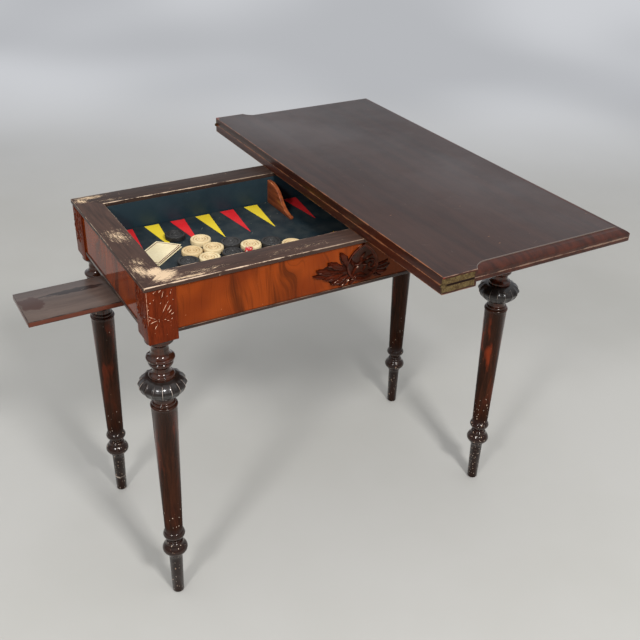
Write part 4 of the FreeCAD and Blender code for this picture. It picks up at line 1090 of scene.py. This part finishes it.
def leg_finish(name, foot, red_share, chips, band=None):
    """Dark polished turning, with the polish thin on the shaft and chipped near the foot."""
    made = Finish(name, roughness=0.1)
    made.grain(made.turned(foot, ALONG_Z), tint(60, 31, 19), tint(32, 17, 11), streak=10)
    height = axes_of(made.place)[2]
    rubbed = fade(cloud(reckon_vector("MULTIPLY", made.place, FIGURE_DRAWN), 42.0, 4.0), 0.48, 0.62)
    on_shaft = times(between(height, SHAFT_RISES, 0.15, FULL), between(height, SHAFT_ENDS, FULL, 0.3))
    made.over(times(times(rubbed, on_shaft), red_share), tint(146, 56, 26))
    made.over(between(height, DARK_BELOW, 0.7, 0.0), tint(32, 20, 16))
    near_foot = between(height, CHIPPED_BELOW, chips, 0.01)
    for size, colour in CHIP_SIZES:
        made.marks(size, near_foot, colour, roughness=0.5)
    if band:
        on_band = fall(apart(height, band * MM), 1.2 * MM, 2.8 * MM, 0.85)
        made.over(times(on_band, fade(cloud(made.place, 60.0, 3.0), 0.36, 0.5)), tint(206, 190, 176), 0.5)
    made.marks(1.4, 0.025, tint(150, 112, 86))
    upper_rings = between(height, RINGS_ABOVE, 0.06, 0.8)
    lower_rings = times(between(height, BALL_ABOVE, 0.0, 0.7), between(height, RING_BELOW, FULL, 0.0))
    return made.seal(coat=reckon("MAXIMUM", upper_rings, lower_rings), coat_roughness=0.1, specular=0.1,
                     shine=WARM_SHINE)


def post_finish(name, foot):
    """Red-brown carved wood, with a painted highlight on its crests."""
    made = Finish(name, roughness=0.26)
    made.grain(made.turned(foot, ALONG_Z), tint(116, 45, 20), tint(84, 31, 14), streak=6)
    made.drift(40.0, 0.5, tint(92, 36, 18))
    # Painted highlight on the carved crests of the post.
    made.over(painted_crest_highlight(made), tint(236, 188, 156), 0.35)
    made.marks(1.4, 0.03, tint(178, 120, 88))
    return made.seal(specular=0.04, shine=WARM_SHINE)


print("leg and post finishes ready")

# %% Bulb finish
PAINTED_SHEEN_RISES = (500, 520)
bulb = Finish("bulb_polish", tint(24, 17, 14), roughness=0.3)
bulb.drift(60.0, 0.6, tint(38, 25, 20))
# Painted reflection: a grey sheen over the bulb's upper half, in patches.
painted_sheen = times(between(axes_of(bulb.place)[2], PAINTED_SHEEN_RISES, 0.0, FULL),
              fade(cloud(bulb.place, 26.0, 2.0), 0.4, 0.64, 0.0, 0.2))
bulb.over(painted_sheen, tint(78, 72, 70), 0.4)
painted_fillet_light = bulb.number("ridge")
highlight_patches = fade(cloud(bulb.place, 34.0, 2.0), 0.4, 0.6, 0.15, FULL)
# Painted shade in the grooves between the panels and painted highlights along the fillets.
bulb.over(fade(painted_fillet_light, -0.2, -0.8), tint(16, 11, 9))
bulb.over(times(fade(painted_fillet_light, 0.5, 0.9), highlight_patches), tint(196, 178, 164), 0.3)
bulb.marks((1.2, 1.2, 3.0), 0.03, tint(140, 112, 94))
bulb_polish = bulb.seal(coat=0.4, coat_roughness=0.08, specular=0.25)
print("finish:", bulb_polish.name)

# %% [markdown]
# ## Turned legs
# A leg is one piece of wood: a square post, then a cap, a cup, a carved bulb, a long tapered shaft, a ring, a
# ball and a foot. The turning is a profile spun round the leg's axis, as on a lathe, with each curve given by
# its two ends and how far it swells. The bulb's panels are cut by pushing in the vertices between them. The
# post is a copy of the CAD leg above the turning, with its arrises eased.

# %% Turning profile
LEG_START = (25.6, 616.4)
LEG_CURVES = (
    (25.6, 612.6, 0.3), (22.4, 605.6, 1.9), (19.0, 604.4, 0.0), (16.0, 590.0, -2.0), (23.6, 576.2, -3.0),
    (25.4, 575.0, 0.0), (25.6, 571.6, 0.4), (22.4, 567.6, 0.5), (21.2, 566.4, 0.0), (22.4, 562.6, 0.6),
    (20.0, 558.4, 0.8), (16.0, 551.0, -1.4), (20.6, 541.0, -2.2), (22.6, 540.0, 0.0), (22.6, 533.4, 1.2),
    (23.6, 533.0, 0.0), (42.0, 522.0, 3.0), (42.0, 513.0, 1.8), (23.0, 495.0, 3.4), (19.4, 491.5, 0.4),
    (18.8, 481.0, -0.6), (22.0, 475.6, 1.6), (21.8, 475.0, 0.0), (24.8, 469.4, 1.9), (24.0, 468.4, 0.0),
    (17.6, 166.0, 0.0), (20.8, 160.6, 0.5), (21.2, 155.4, 0.7), (18.4, 151.4, 0.5), (12.6, 142.0, -1.2),
    (13.0, 139.8, 0.0), (17.2, 135.6, 1.2), (17.8, 133.0, 0.0), (15.6, 107.0, 8.4), (16.4, 106.4, 0.0),
    (15.2, 103.6, 0.5), (13.6, 102.8, 0.0), (11.5, 2.5, 0.0), (9.5, 0.3, 0.3), (9.0, 0.0, 0.0),
    (0.0, 0.0, 0.0),
)
LEG_STEPS = 192
PANELS = 16
PANEL_TOP = 532.6
PANEL_FOOT = 506.0
PANEL_ROUND = 7.0
PANEL_BLEND = 3.0
PANEL_DISH = 1.6
FILLET_FROM = 0.04
FILLET_TO = 0.12
FILLET_RISE = 0.8
PANEL_HIGHLIGHT_FROM = 0.4
PANEL_HIGHLIGHT_TO = 0.45
PANEL_HIGHLIGHT_BRIGHT = 0.6
GROOVE_DEPTH = 1.5
BULB_TOP = 533.2
BULB_FOOT = 490.5
BULB_SLOT = 1
POST_SLOT = 2


def held(share):
    """A share kept between nothing and all."""
    return min(1.0, max(0.0, share))


def turn_leg(bm, foot):
    """Spins the leg's profile and cuts the panels of its bulb."""
    ridge = bm.verts.layers.float.new("ridge")
    lathe(bm, foot, bowed(LEG_START, LEG_CURVES), LEG_STEPS)
    for vert in bm.verts:
        out = vert.co - foot
        height = out.z / MM
        if not PANEL_FOOT - 2 * PANEL_ROUND < height < PANEL_TOP + PANEL_BLEND:
            continue
        out.z = 0.0
        share = (math.atan2(out.y, out.x) / (2 * math.pi) * PANELS) % 1.0
        middle = abs(share - 0.5) * 2.0
        foot_line = PANEL_FOOT - PANEL_ROUND * math.sqrt(max(0.0, 1.0 - middle * middle))
        depth = held((PANEL_TOP - height) / PANEL_BLEND) * held((height - foot_line) / PANEL_BLEND)
        fillet = FILLET_FROM < share < FILLET_TO
        groove = share <= FILLET_FROM or share > 1.0 - FILLET_FROM
        dish = PANEL_DISH * (1 - middle * middle)
        cut_in = dish + (GROOVE_DEPTH if groove else 0.0) - (FILLET_RISE if fillet else 0.0)
        vert.co -= out.normalized() * depth * cut_in * MM
        # ridge: a painted highlight on each fillet and, fainter, along each panel's middle; painted shade in
        # each groove.
        line = PANEL_HIGHLIGHT_BRIGHT if PANEL_HIGHLIGHT_FROM < share < PANEL_HIGHLIGHT_TO else 0.0
        vert[ridge] = depth * ((1.0 if fillet else line) - (1.0 if groove else 0.0))
    for face in bm.faces:
        if BULB_FOOT * MM < face.calc_center_median().z < BULB_TOP * MM:
            face.material_index = BULB_SLOT


print("leg profile of", len(LEG_CURVES), "curves")

# %% Post
POST_FOOT_HEIGHT = 616.3
POST_WELD = 0.01
POST_EASE = 1.0
FLAT_ANGLE = math.radians(1)
ARRIS_ANGLE = math.radians(60)


def shape_post(bm, node_name):
    """A copy of the CAD leg above its turning, with eased arrises."""
    bm.from_mesh(nodes[node_name].data)
    bmesh.ops.remove_doubles(bm, verts=bm.verts, dist=POST_WELD * MM)
    everything = list(bm.verts) + list(bm.edges) + list(bm.faces)
    cut = bmesh.ops.bisect_plane(bm, geom=everything, plane_co=(0, 0, POST_FOOT_HEIGHT * MM),
                                 plane_no=(0, 0, 1), clear_inner=True)["geom_cut"]
    bmesh.ops.contextual_create(bm, geom=edges_in(cut))
    bmesh.ops.dissolve_limit(bm, angle_limit=FLAT_ANGLE, verts=bm.verts, edges=bm.edges)
    square = [edge for edge in bm.edges if edge.is_manifold and edge.calc_face_angle(0) > ARRIS_ANGLE]
    plane_edges(bm, square, POST_EASE, 3)


print("post starts at", POST_FOOT_HEIGHT, "mm")

# %% Carving of the posts
# Each leaf has its root, the point that it leans to, its tip and its width. Crests are lines over the leaves.
POST_LEAVES = (
    ((-6, 27), (1, 44), (12, 61), 8.0), ((4, 30), (11, 38), (19, 47), 6.0),
    ((4, 26), (13, 29), (21, 34), 5.0), ((-9, 26), (-16, 27), (-25, 21), 5.5),
    ((-9, 29), (-18, 31), (-25, 41), 6.0), ((-8, 30), (-16, 46), (-14, 67), 7.0),
    ((-5, 30), (-5, 48), (-1, 68), 6.0), ((-3, 24), (3, 21), (11, 22), 4.4),
    ((-8, 23), (-12, 17), (-18, 12), 4.4), ((-5, 22), (-4, 15), (1, 10), 4.4),
    ((-18, 83), (-14, 80), (-9, 73), 5.0), ((-4, 83), (-5, 78), (-2, 71), 5.0),
    ((8, 83), (6, 76), (4, 66), 5.0), ((19, 83), (18, 76), (14, 70), 5.0),
)
POST_CRESTS = (
    ((-24, 22), (-18, 26), (-10, 26)), ((-26, 40), (-20, 33), (-12, 30)), ((-1, 36), (4, 48), (12, 59)),
    ((8, 40), (12, 45), (15, 50)), ((10, 35), (14, 39), (18, 43)), ((14, 32), (17, 33), (20, 35)),
    ((-15, 78), (-12, 80), (-9, 82)), ((-5, 78), (-3, 80), (0, 82)), ((0, 66), (2, 73), (4, 79)),
    ((-7, 22), (-6, 25), (-7, 29)), ((2, 25), (4, 26), (6, 25)), ((7, 22), (9, 22), (11, 21)),
    ((-16, 10), (-13, 14), (-10, 19)), ((15, 70), (17, 75), (18, 80)),
)
POST_BEADS = ((-2, 58), (-14, 66), (-24, 50), (-20, 62), (10, 68), (20, 60), (-23, 30), (16, 24))
POST_LEAF_RISE = 1.2
POST_LEAF_BRIGHT = 0.2
CREST_WIDTH = 1.4
CREST_RISE = 1.6
BEAD_WIDTH = 1.9
BEAD_BRIGHT = 0.9
ARRIS_INSET = 1.6
ARRIS_LINE = (3, 45, 82)
ARRIS_WIDTH = 0.9
ARRIS_RISE = 0.4
ARRIS_BRIGHT = 0.75


def carve_post(leaves, face, half, bright):
    """The spray of leaves on one face of a post, with its crests, its beads and a line along the arris."""
    for root, middle, tip, width in POST_LEAVES:
        carve(leaves, face, bend(root, middle, tip), width, POST_LEAF_RISE, bright=POST_LEAF_BRIGHT)
    for root, middle, tip in POST_CRESTS:
        carve(leaves, face, bend(root, middle, tip), CREST_WIDTH, CREST_RISE, vein=0.0, bright=bright)
    for u, v in POST_BEADS:
        carve(leaves, face, bend((u - 1, v - 1), (u, v), (u + 1, v + 1)), BEAD_WIDTH, CREST_RISE, along=4,
              vein=0.0, bright=BEAD_BRIGHT * bright)
    # A painted highlight line beside the arris.
    line = bend(*((ARRIS_INSET - half, up) for up in ARRIS_LINE))
    carve(leaves, face, line, ARRIS_WIDTH, ARRIS_RISE, along=12, vein=0.0, shape=even_width,
          bright=ARRIS_BRIGHT * bright)


print("post carving of", len(POST_LEAVES) + len(POST_CRESTS) + len(POST_BEADS), "cuts")

# %% Legs
# Each leg has its share of red on the shaft, its share of chips, and the height of a pale band if it has one.
LEGS = {"leg_front_left": (0.25, 0.3, None), "leg_front_right": (0.7, 1.0, None),
        "leg_back_left": (0.35, 0.6, 39), "leg_back_right": (0.25, 0.35, None)}
RAIL_FOOT = 636.0
# The side face of each post gets half the painted highlight of the front face.
SIDE_BRIGHT = 0.5
for leg, (red_share, chips, band) in LEGS.items():
    low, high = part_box(leg)
    foot = Vector(((low.x + high.x) / 2, (low.y + high.y) / 2, 0.0))
    to_side = Vector((-1 if foot.x < MIDDLE.x else 1, 0, 0))
    to_front = Vector((0, -1 if foot.y < MIDDLE.y else 1, 0))
    whole = bmesh.new()
    turn_leg(whole, foot)
    post = bmesh.new()
    shape_post(post, leg)
    half = (max(v.co.x for v in post.verts) - min(v.co.x for v in post.verts)) / 2
    add_mesh(whole, post)
    leaves = bmesh.new()
    for out, across, bright in ((to_front, -to_side, 1.0), (to_side, -to_front, SIDE_BRIGHT)):
        face = carved_face(foot + Vector((0, 0, RAIL_FOOT * MM)) + out * half, across, out)
        carve_post(leaves, face, half / MM, bright)
    add_mesh(whole, leaves)
    for face in whole.faces:
        if face.calc_center_median().z > POST_FOOT_HEIGHT * MM:
            face.material_index = POST_SLOT
    finishes = [leg_finish(leg + "_polish", foot, red_share, chips, band), bulb_polish,
                post_finish(leg + "_post", foot)]
    hand_over("turned_" + leg, whole, finishes, "frame", [leg])

# %% [markdown]
# ## The carved cartouche
# In the middle of the front rail a pointed shield lies among curling leaves and a scroll. The shield's
# outline is drawn from a few curves, raised and inset for its border, and its field is sunk. Broad notched
# lobes curl up on the left, thin blades lie on the right, all carved with the same helper as on the posts.

# %% Shield
SHIELD_START = (16, 80)
SHIELD_CURVES = ((46, 35, 6.0), (36, 14, 3.0), (10, 5, 3.0), (-11, 15, 2.0), (-23, 44, 3.0), (16, 80, 7.0))
SHIELD_STEPS = 10
SHIELD_RISE = 4.2
SHIELD_BORDER = 1.5
SHIELD_SLOPE = 4.0
SHIELD_SUNK = 3.0
SHIELD_EASE = 0.5
ARCH_FOOT = 44
ARCH_SKIN = 0.3
ARCH_BRIGHT = 0.35
carving = bmesh.new()
rail_face = carved_face(at(0, 0, RAIL_FOOT) + Vector((0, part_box("front_rail")[0].y - MIDDLE.y, 0)),
                        Vector((1, 0, 0)), Vector((0, -1, 0)))
outline = bowed(SHIELD_START, SHIELD_CURVES, SHIELD_STEPS)[:-1]
shield = carving.faces.new([carving.verts.new(rail_face(point.x, point.y, -LEAF_SINK)) for point in outline])
raised = bmesh.ops.extrude_face_region(carving, geom=[shield])["geom"]
lifted = verts_in(raised)
bmesh.ops.translate(carving, verts=lifted, vec=(0, -(SHIELD_RISE + LEAF_SINK) * MM, 0))
top = [item for item in raised if isinstance(item, bmesh.types.BMFace)][0]
bmesh.ops.inset_region(carving, faces=[top], thickness=SHIELD_BORDER * MM, use_even_offset=True)
outer_crests = [edge for vert in lifted for edge in vert.link_edges if all(v in lifted for v in edge.verts)]
border_crests = list(set(list(top.edges) + outer_crests))
bmesh.ops.inset_region(carving, faces=[top], thickness=SHIELD_SLOPE * MM, use_even_offset=True)
bmesh.ops.translate(carving, verts=top.verts, vec=(0, SHIELD_SUNK * MM, 0))
plane_edges(carving, border_crests, SHIELD_EASE, 2)
# The upper border of the shield, above ARCH_FOOT, carries a painted highlight line.
ridge = carving.verts.layers.float.new("ridge")
for vert in carving.verts:
    on_border = rail_face(0, 0, SHIELD_RISE - ARCH_SKIN).y > vert.co.y
    vert[ridge] = ARCH_BRIGHT if on_border and vert.co.z > rail_face(0, ARCH_FOOT, 0).z else 0.0
print("shield of", len(outline), "points")

# %% Foliage
# Each leaf has its root, the point that it leans to, its tip, its width and how far it rises.
GROUNDS = (
    ((-8, 30), (-44, 32), (-80, 42), 40, 1.6), ((-6, 22), (-30, 14), (-58, 16), 24, 1.5),
    ((36, 26), (56, 22), (74, 24), 24, 1.4), ((-16, 40), (-24, 54), (-38, 66), 20, 1.5),
)
LOBES = (
    ((-22, 40), (-25, 58), (-38, 73), 15, 4.0), ((-24, 36), (-44, 44), (-63, 57), 17, 4.5),
    ((-40, 34), (-64, 34), (-87, 47), 17, 5.0), ((-56, 32), (-76, 30), (-94, 37), 10, 4.0),
    ((-30, 28), (-52, 22), (-73, 27), 16, 5.0), ((-20, 24), (-38, 12), (-56, 13), 16, 5.0),
    ((-12, 20), (-24, 8), (-38, 6), 12, 4.0), ((-2, 20), (-6, 10), (-16, 4), 12, 4.0),
)
BLADES = (
    ((-22, 33), (-44, 36), (-62, 36), 7, 5.5), ((-12, 12), (0, 54), (32, 45), 6, 4.6),
    ((-2, 34), (-12, 44), (-12, 56), 7, 4.4), ((8, 42), (8, 54), (18, 62), 7, 4.4),
    ((14, 44), (22, 36), (12, 24), 6, 4.4), ((-2, 20), (12, 22), (22, 14), 7, 4.6),
    ((-4, 12), (10, 10), (24, 5), 8, 4.6), ((18, 44), (24, 52), (34, 54), 5, 4.0),
    ((24, 24), (34, 20), (38, 12), 6, 4.4),
)
SPRIGS = (
    ((42, 28), (54, 27), (70, 36), 9, 3.4), ((43, 24), (58, 20), (74, 27), 8, 3.4),
    ((41, 19), (54, 10), (68, 15), 10, 3.4), ((37, 14), (46, 6), (56, 6), 8, 3.0),
)
FOLIAGE = (
    (GROUNDS, {"along": 28, "across": 10, "vein": 0.0, "shape": lobe_width, "bright": 0.0}),
    (LOBES, {"along": 24, "across": 8, "shape": lobe_width, "lift": 2.6, "bright": 0.28}),
    (BLADES, {"along": 16, "across": 6, "bright": 0.2}),
    (SPRIGS, {"along": 16, "across": 6, "bright": 0.08}),
)
print("foliage of", sum(len(leaves) for leaves, cut in FOLIAGE), "leaves")

# %% Cartouche
# Each glint is a thin carved ridge that carries a painted highlight.
GLINTS = ((-80, 43), (-58, 52), (-57, 25), (-43, 14), (-1, 43), (16, 40))
GLINT_WIDTH = 1.6
GLINT_RISE = 8.0
VOLUTE = curl(centre=(31, 35), outer=10.0, inner=2.0, start=math.radians(95), turns=-1.3)
VOLUTE_WIDTH = 4.4
VOLUTE_RISE = 5.0
RECESS_SHADE_FROM = rail_face(0, 0, 2.6).y
RECESS_SHADE_TO = rail_face(0, 0, 0.4).y
for leaves, cut in FOLIAGE:
    for root, middle, tip, width, rise in leaves:
        carve(carving, rail_face, bend(root, middle, tip), width, rise, **cut)
for u, v in GLINTS:
    carve(carving, rail_face, bend((u + 5, v - 2), (u, v), (u - 5, v - 1)), GLINT_WIDTH, GLINT_RISE, along=8,
          vein=0.0, bright=0.45)
carve(carving, rail_face, VOLUTE, VOLUTE_WIDTH, VOLUTE_RISE, along=44, across=6, vein=0.0, shape=scroll_width,
      bright=0.22)
carved = Finish("cartouche_polish", roughness=0.14)
carved.grain(carved.turned(), tint(80, 29, 14), tint(46, 17, 9), streak=12)
# Painted shade: the carving darkens where it lies within a few millimetres of the rail face, between the
# lobes.
carved.over(fade(axes_of(carved.place)[1], RECESS_SHADE_FROM, RECESS_SHADE_TO), tint(34, 14, 9))
# Painted highlight on the carved crests, the glints and the shield's upper border.
carved.over(painted_crest_highlight(carved), tint(232, 190, 172), 0.2)
carved.marks(1.2, 0.012, tint(150, 100, 76))
hand_over("carved_cartouche", carving, [carved.seal(specular=0.18, shine=WARM_SHINE)], "frame",
          ["front_carving"])

# %% [markdown]
# ## Draughtsmen
# The men are turned discs with rings cut in their faces. One profile is spun for each man, and each gets its
# own tone, because wood and old polish differ from man to man. The tone is a number on the vertices, so that
# one mesh and one finish can hold all men of a side.

# %% Men
MAN_START = (0.0, 9.3)
MAN_CURVES = (
    (2.2, 9.2, 0.2), (3.2, 8.2, 0.0), (4.4, 8.2, 0.0), (5.0, 9.2, 0.0), (7.6, 9.2, 0.2), (8.4, 8.2, 0.0),
    (9.6, 8.1, 0.0), (10.4, 8.9, 0.0), (13.2, 8.9, 0.2), (14.2, 8.0, 0.0), (15.0, 9.8, 0.0), (18.4, 9.8, 0.2),
    (20.0, 8.2, 0.5), (20.0, 1.8, 0.3), (18.6, 0.0, 0.5), (0.0, 0.0, 0.0),
)
MAN_CURVE_STEPS = 6
MAN_STEPS = 64
MAN_GROOVE_FOOT = 7.8
MAN_GROOVE_TOP = 8.5
MAN_FACE = 16.0
MAN_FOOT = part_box("cream_draughts")[0].z / MM
MAN_SHARP = math.radians(28)


def turn_men(places):
    """Spins one man at each place and marks it with its tone."""
    men = bmesh.new()
    for layer in ("tone", "groove"):
        men.verts.layers.float.new(layer)
    for x, y, tone in places:
        single = bmesh.new()
        foot = at(x, y, MAN_FOOT)
        lathe(single, foot, bowed(MAN_START, MAN_CURVES, MAN_CURVE_STEPS), MAN_STEPS)
        own_tone = single.verts.layers.float.new("tone")
        own_groove = single.verts.layers.float.new("groove")
        for vert in single.verts:
            vert[own_tone] = tone
            up = (vert.co.z - foot.z) / MM
            across = math.hypot(vert.co.x - foot.x, vert.co.y - foot.y) / MM
            vert[own_groove] = 1.0 if MAN_GROOVE_FOOT < up < MAN_GROOVE_TOP and across < MAN_FACE else 0.0
        add_mesh(men, single)
    return men


print("man profile of", len(MAN_CURVES), "curves")

# %% Men of both sides


def man_finish(name, light, dark, stain):
    """Turned and waxed wood, one tone to each man."""
    made = Finish(name, roughness=0.4)
    made.colour = blend(made.number("tone"), dark, light)
    made.drift(90.0, 0.35, stain)
    made.over(fade(made.number("groove"), 0.2, 0.9, 0.0, 0.85), stain)
    made.marks(1.0, 0.03, stain)
    made.pitted(900.0, 2.0, 0.06)
    return made.seal(coat=0.12, coat_roughness=0.2)


CREAM_MEN = ((-212, 33, 0.7), (-246, -6, 0.2), (-204, -10, 0.6), (-227, -46, 0.9), (-134, -31, 0.8),
             (-61, -62, 0.5))
BLACK_MEN = ((-248, 76, 0.3), (-269, -43, 0.6), (-164, -3, 0.9), (-180, -47, 0.2), (-93, -36, 0.5))
cream_wax = man_finish("cream_man_wax", tint(226, 208, 166), tint(206, 178, 130), tint(176, 142, 96))
black_wax = man_finish("black_man_wax", tint(46, 45, 44), tint(28, 27, 27), tint(60, 58, 56))
hand_over("cream_men", turn_men(CREAM_MEN), [cream_wax], "frame", ["cream_draughts"],
          MAN_SHARP)
hand_over("black_men", turn_men(BLACK_MEN), [black_wax], "frame", ["black_draughts"],
          MAN_SHARP)

# %% [markdown]
# ## The die
# A small red cube with rounded edges and shallow pale pips. The pips could be cut out with booleans, but one
# flattened sphere for each of them looks the same at this size and stays clean.

# %% Die
DIE_SIDE = 14.0
DIE_EASE = 1.5
DIE_STEP = 3.6
DIE_SPOT = (-150, -55)
DIE_TURN = math.radians(60)
PIP_RADIUS = 1.35
PIP_FLAT = 0.25
PIP_SLOT = 1
PIP_PLACES = {1: ((0, 0),), 2: ((-1, -1), (1, 1)), 3: ((-1, -1), (0, 0), (1, 1)),
              4: ((-1, -1), (-1, 1), (1, -1), (1, 1)), 5: ((-1, -1), (-1, 1), (0, 0), (1, -1), (1, 1)),
              6: ((-1, -1), (-1, 0), (-1, 1), (1, -1), (1, 0), (1, 1))}
DIE_FACES = ((3, (0, 0, 1)), (4, (0, 0, -1)), (1, (1, 0, 0)), (6, (-1, 0, 0)), (2, (0, -1, 0)),
             (5, (0, 1, 0)))
die = bmesh.new()
bmesh.ops.create_cube(die, size=DIE_SIDE * MM)
plane_edges(die, die.edges[:], DIE_EASE, 4)
flat = Matrix.Diagonal((1.0, 1.0, PIP_FLAT, 1.0))
for count, out in DIE_FACES:
    turn = Vector(out).to_track_quat("Z", "Y").to_matrix().to_4x4()
    for across, up in PIP_PLACES[count]:
        spot = Matrix.Translation(Vector((across * DIE_STEP, up * DIE_STEP, DIE_SIDE / 2)) * MM)
        before = set(die.faces)
        bmesh.ops.create_uvsphere(die, u_segments=12, v_segments=6, radius=PIP_RADIUS * MM,
                                  matrix=turn @ spot @ flat)
        for face in set(die.faces) - before:
            face.material_index = PIP_SLOT
die_place = Matrix.Translation(at(*DIE_SPOT, MAN_FOOT + DIE_SIDE / 2)) @ Matrix.Rotation(DIE_TURN, 4, "Z")
bmesh.ops.transform(die, verts=die.verts, matrix=die_place)
red_bone = Finish("red_die_gloss", tint(196, 34, 40), roughness=0.25)
red_bone.drift(260.0, 0.6, tint(160, 22, 30))
pip_white = Finish("pip_white", tint(238, 226, 204), roughness=0.4)
pip_white.drift(400.0, 0.6, tint(214, 196, 168))
hand_over("rounded_die", die, [red_bone.seal(coat=0.4), pip_white.seal()], "frame", ["die"])

# %% [markdown]
# ## The folded card
# A cream card lies folded in the corner of the well, its upper leaf sprung open a little. A cloth simulation
# could bend it, but stiff card needs no more than a sine. Each leaf is a grid with some thickness, and a ruled
# border is drawn by how far a point lies from the edges.

# %% Card
CARD_SPOT = (-303, 26)
CARD_TURN = math.radians(40)
CARD_LONG = 88.0
CARD_WIDE = 57.0
CARD_SHEET = 0.5
CARD_CLEAR = 0.05
CARD_STACK = 1.4
CARD_SPRING = 4.0
CARD_BOW = 1.2
CARD_TWIST = 0.4
CARD_SHRINK = 0.03
card_middle = at(*CARD_SPOT, MAN_FOOT)
card = bmesh.new()
for sprung in (0, 1):
    leaf_verts = bmesh.ops.create_grid(card, x_segments=12, y_segments=16, size=0.5)["verts"]
    for vert in leaf_verts:
        from_fold = 0.5 - vert.co.y
        opened = CARD_SPRING * math.sin(from_fold * CARD_BOW) * (0.8 + CARD_TWIST * vert.co.x)
        lift = sprung * (CARD_SHEET * CARD_STACK + opened)
        wide = 0.5 - from_fold * (1.0 - CARD_SHRINK * sprung * from_fold)
        vert.co = Vector((vert.co.x * CARD_LONG, CARD_WIDE * wide, lift + CARD_CLEAR)) * MM
bmesh.ops.recalc_face_normals(card, faces=card.faces)
bmesh.ops.solidify(card, geom=card.faces[:], thickness=-CARD_SHEET * MM)
bmesh.ops.transform(card, verts=card.verts,
                    matrix=Matrix.Translation(card_middle) @ Matrix.Rotation(CARD_TURN, 4, "Z"))
print("card leaves of", CARD_LONG, "by", CARD_WIDE, "mm")

# %% Card paper
RULE_INSET = 4.2 * MM
RULE_INNER = 0.77 * MM
RULE_OUTER = 1.1 * MM
paper_card = Finish("cream_card_paper", tint(236, 222, 184), roughness=0.6)
paper_card.drift(40.0, 0.5, tint(222, 202, 156))
paper_card.drift(220.0, 0.25, tint(206, 182, 136))
on_card = paper_card.turned(card_middle, (0, 0, CARD_TURN))
lies_at = axes_of(reckon_vector("ABSOLUTE", on_card, (0, 0, 0)))
inside = reckon("MINIMUM", reckon("SUBTRACT", CARD_LONG / 2 * MM, lies_at[0]),
                reckon("SUBTRACT", CARD_WIDE / 2 * MM, lies_at[1]))
paper_card.over(fall(apart(inside, RULE_INSET), RULE_INNER, RULE_OUTER), tint(92, 26, 34))
paper_card.pitted(1200.0, 2.0, 0.05)
hand_over("folded_card", card, [paper_card.seal()], "frame", ["card"])
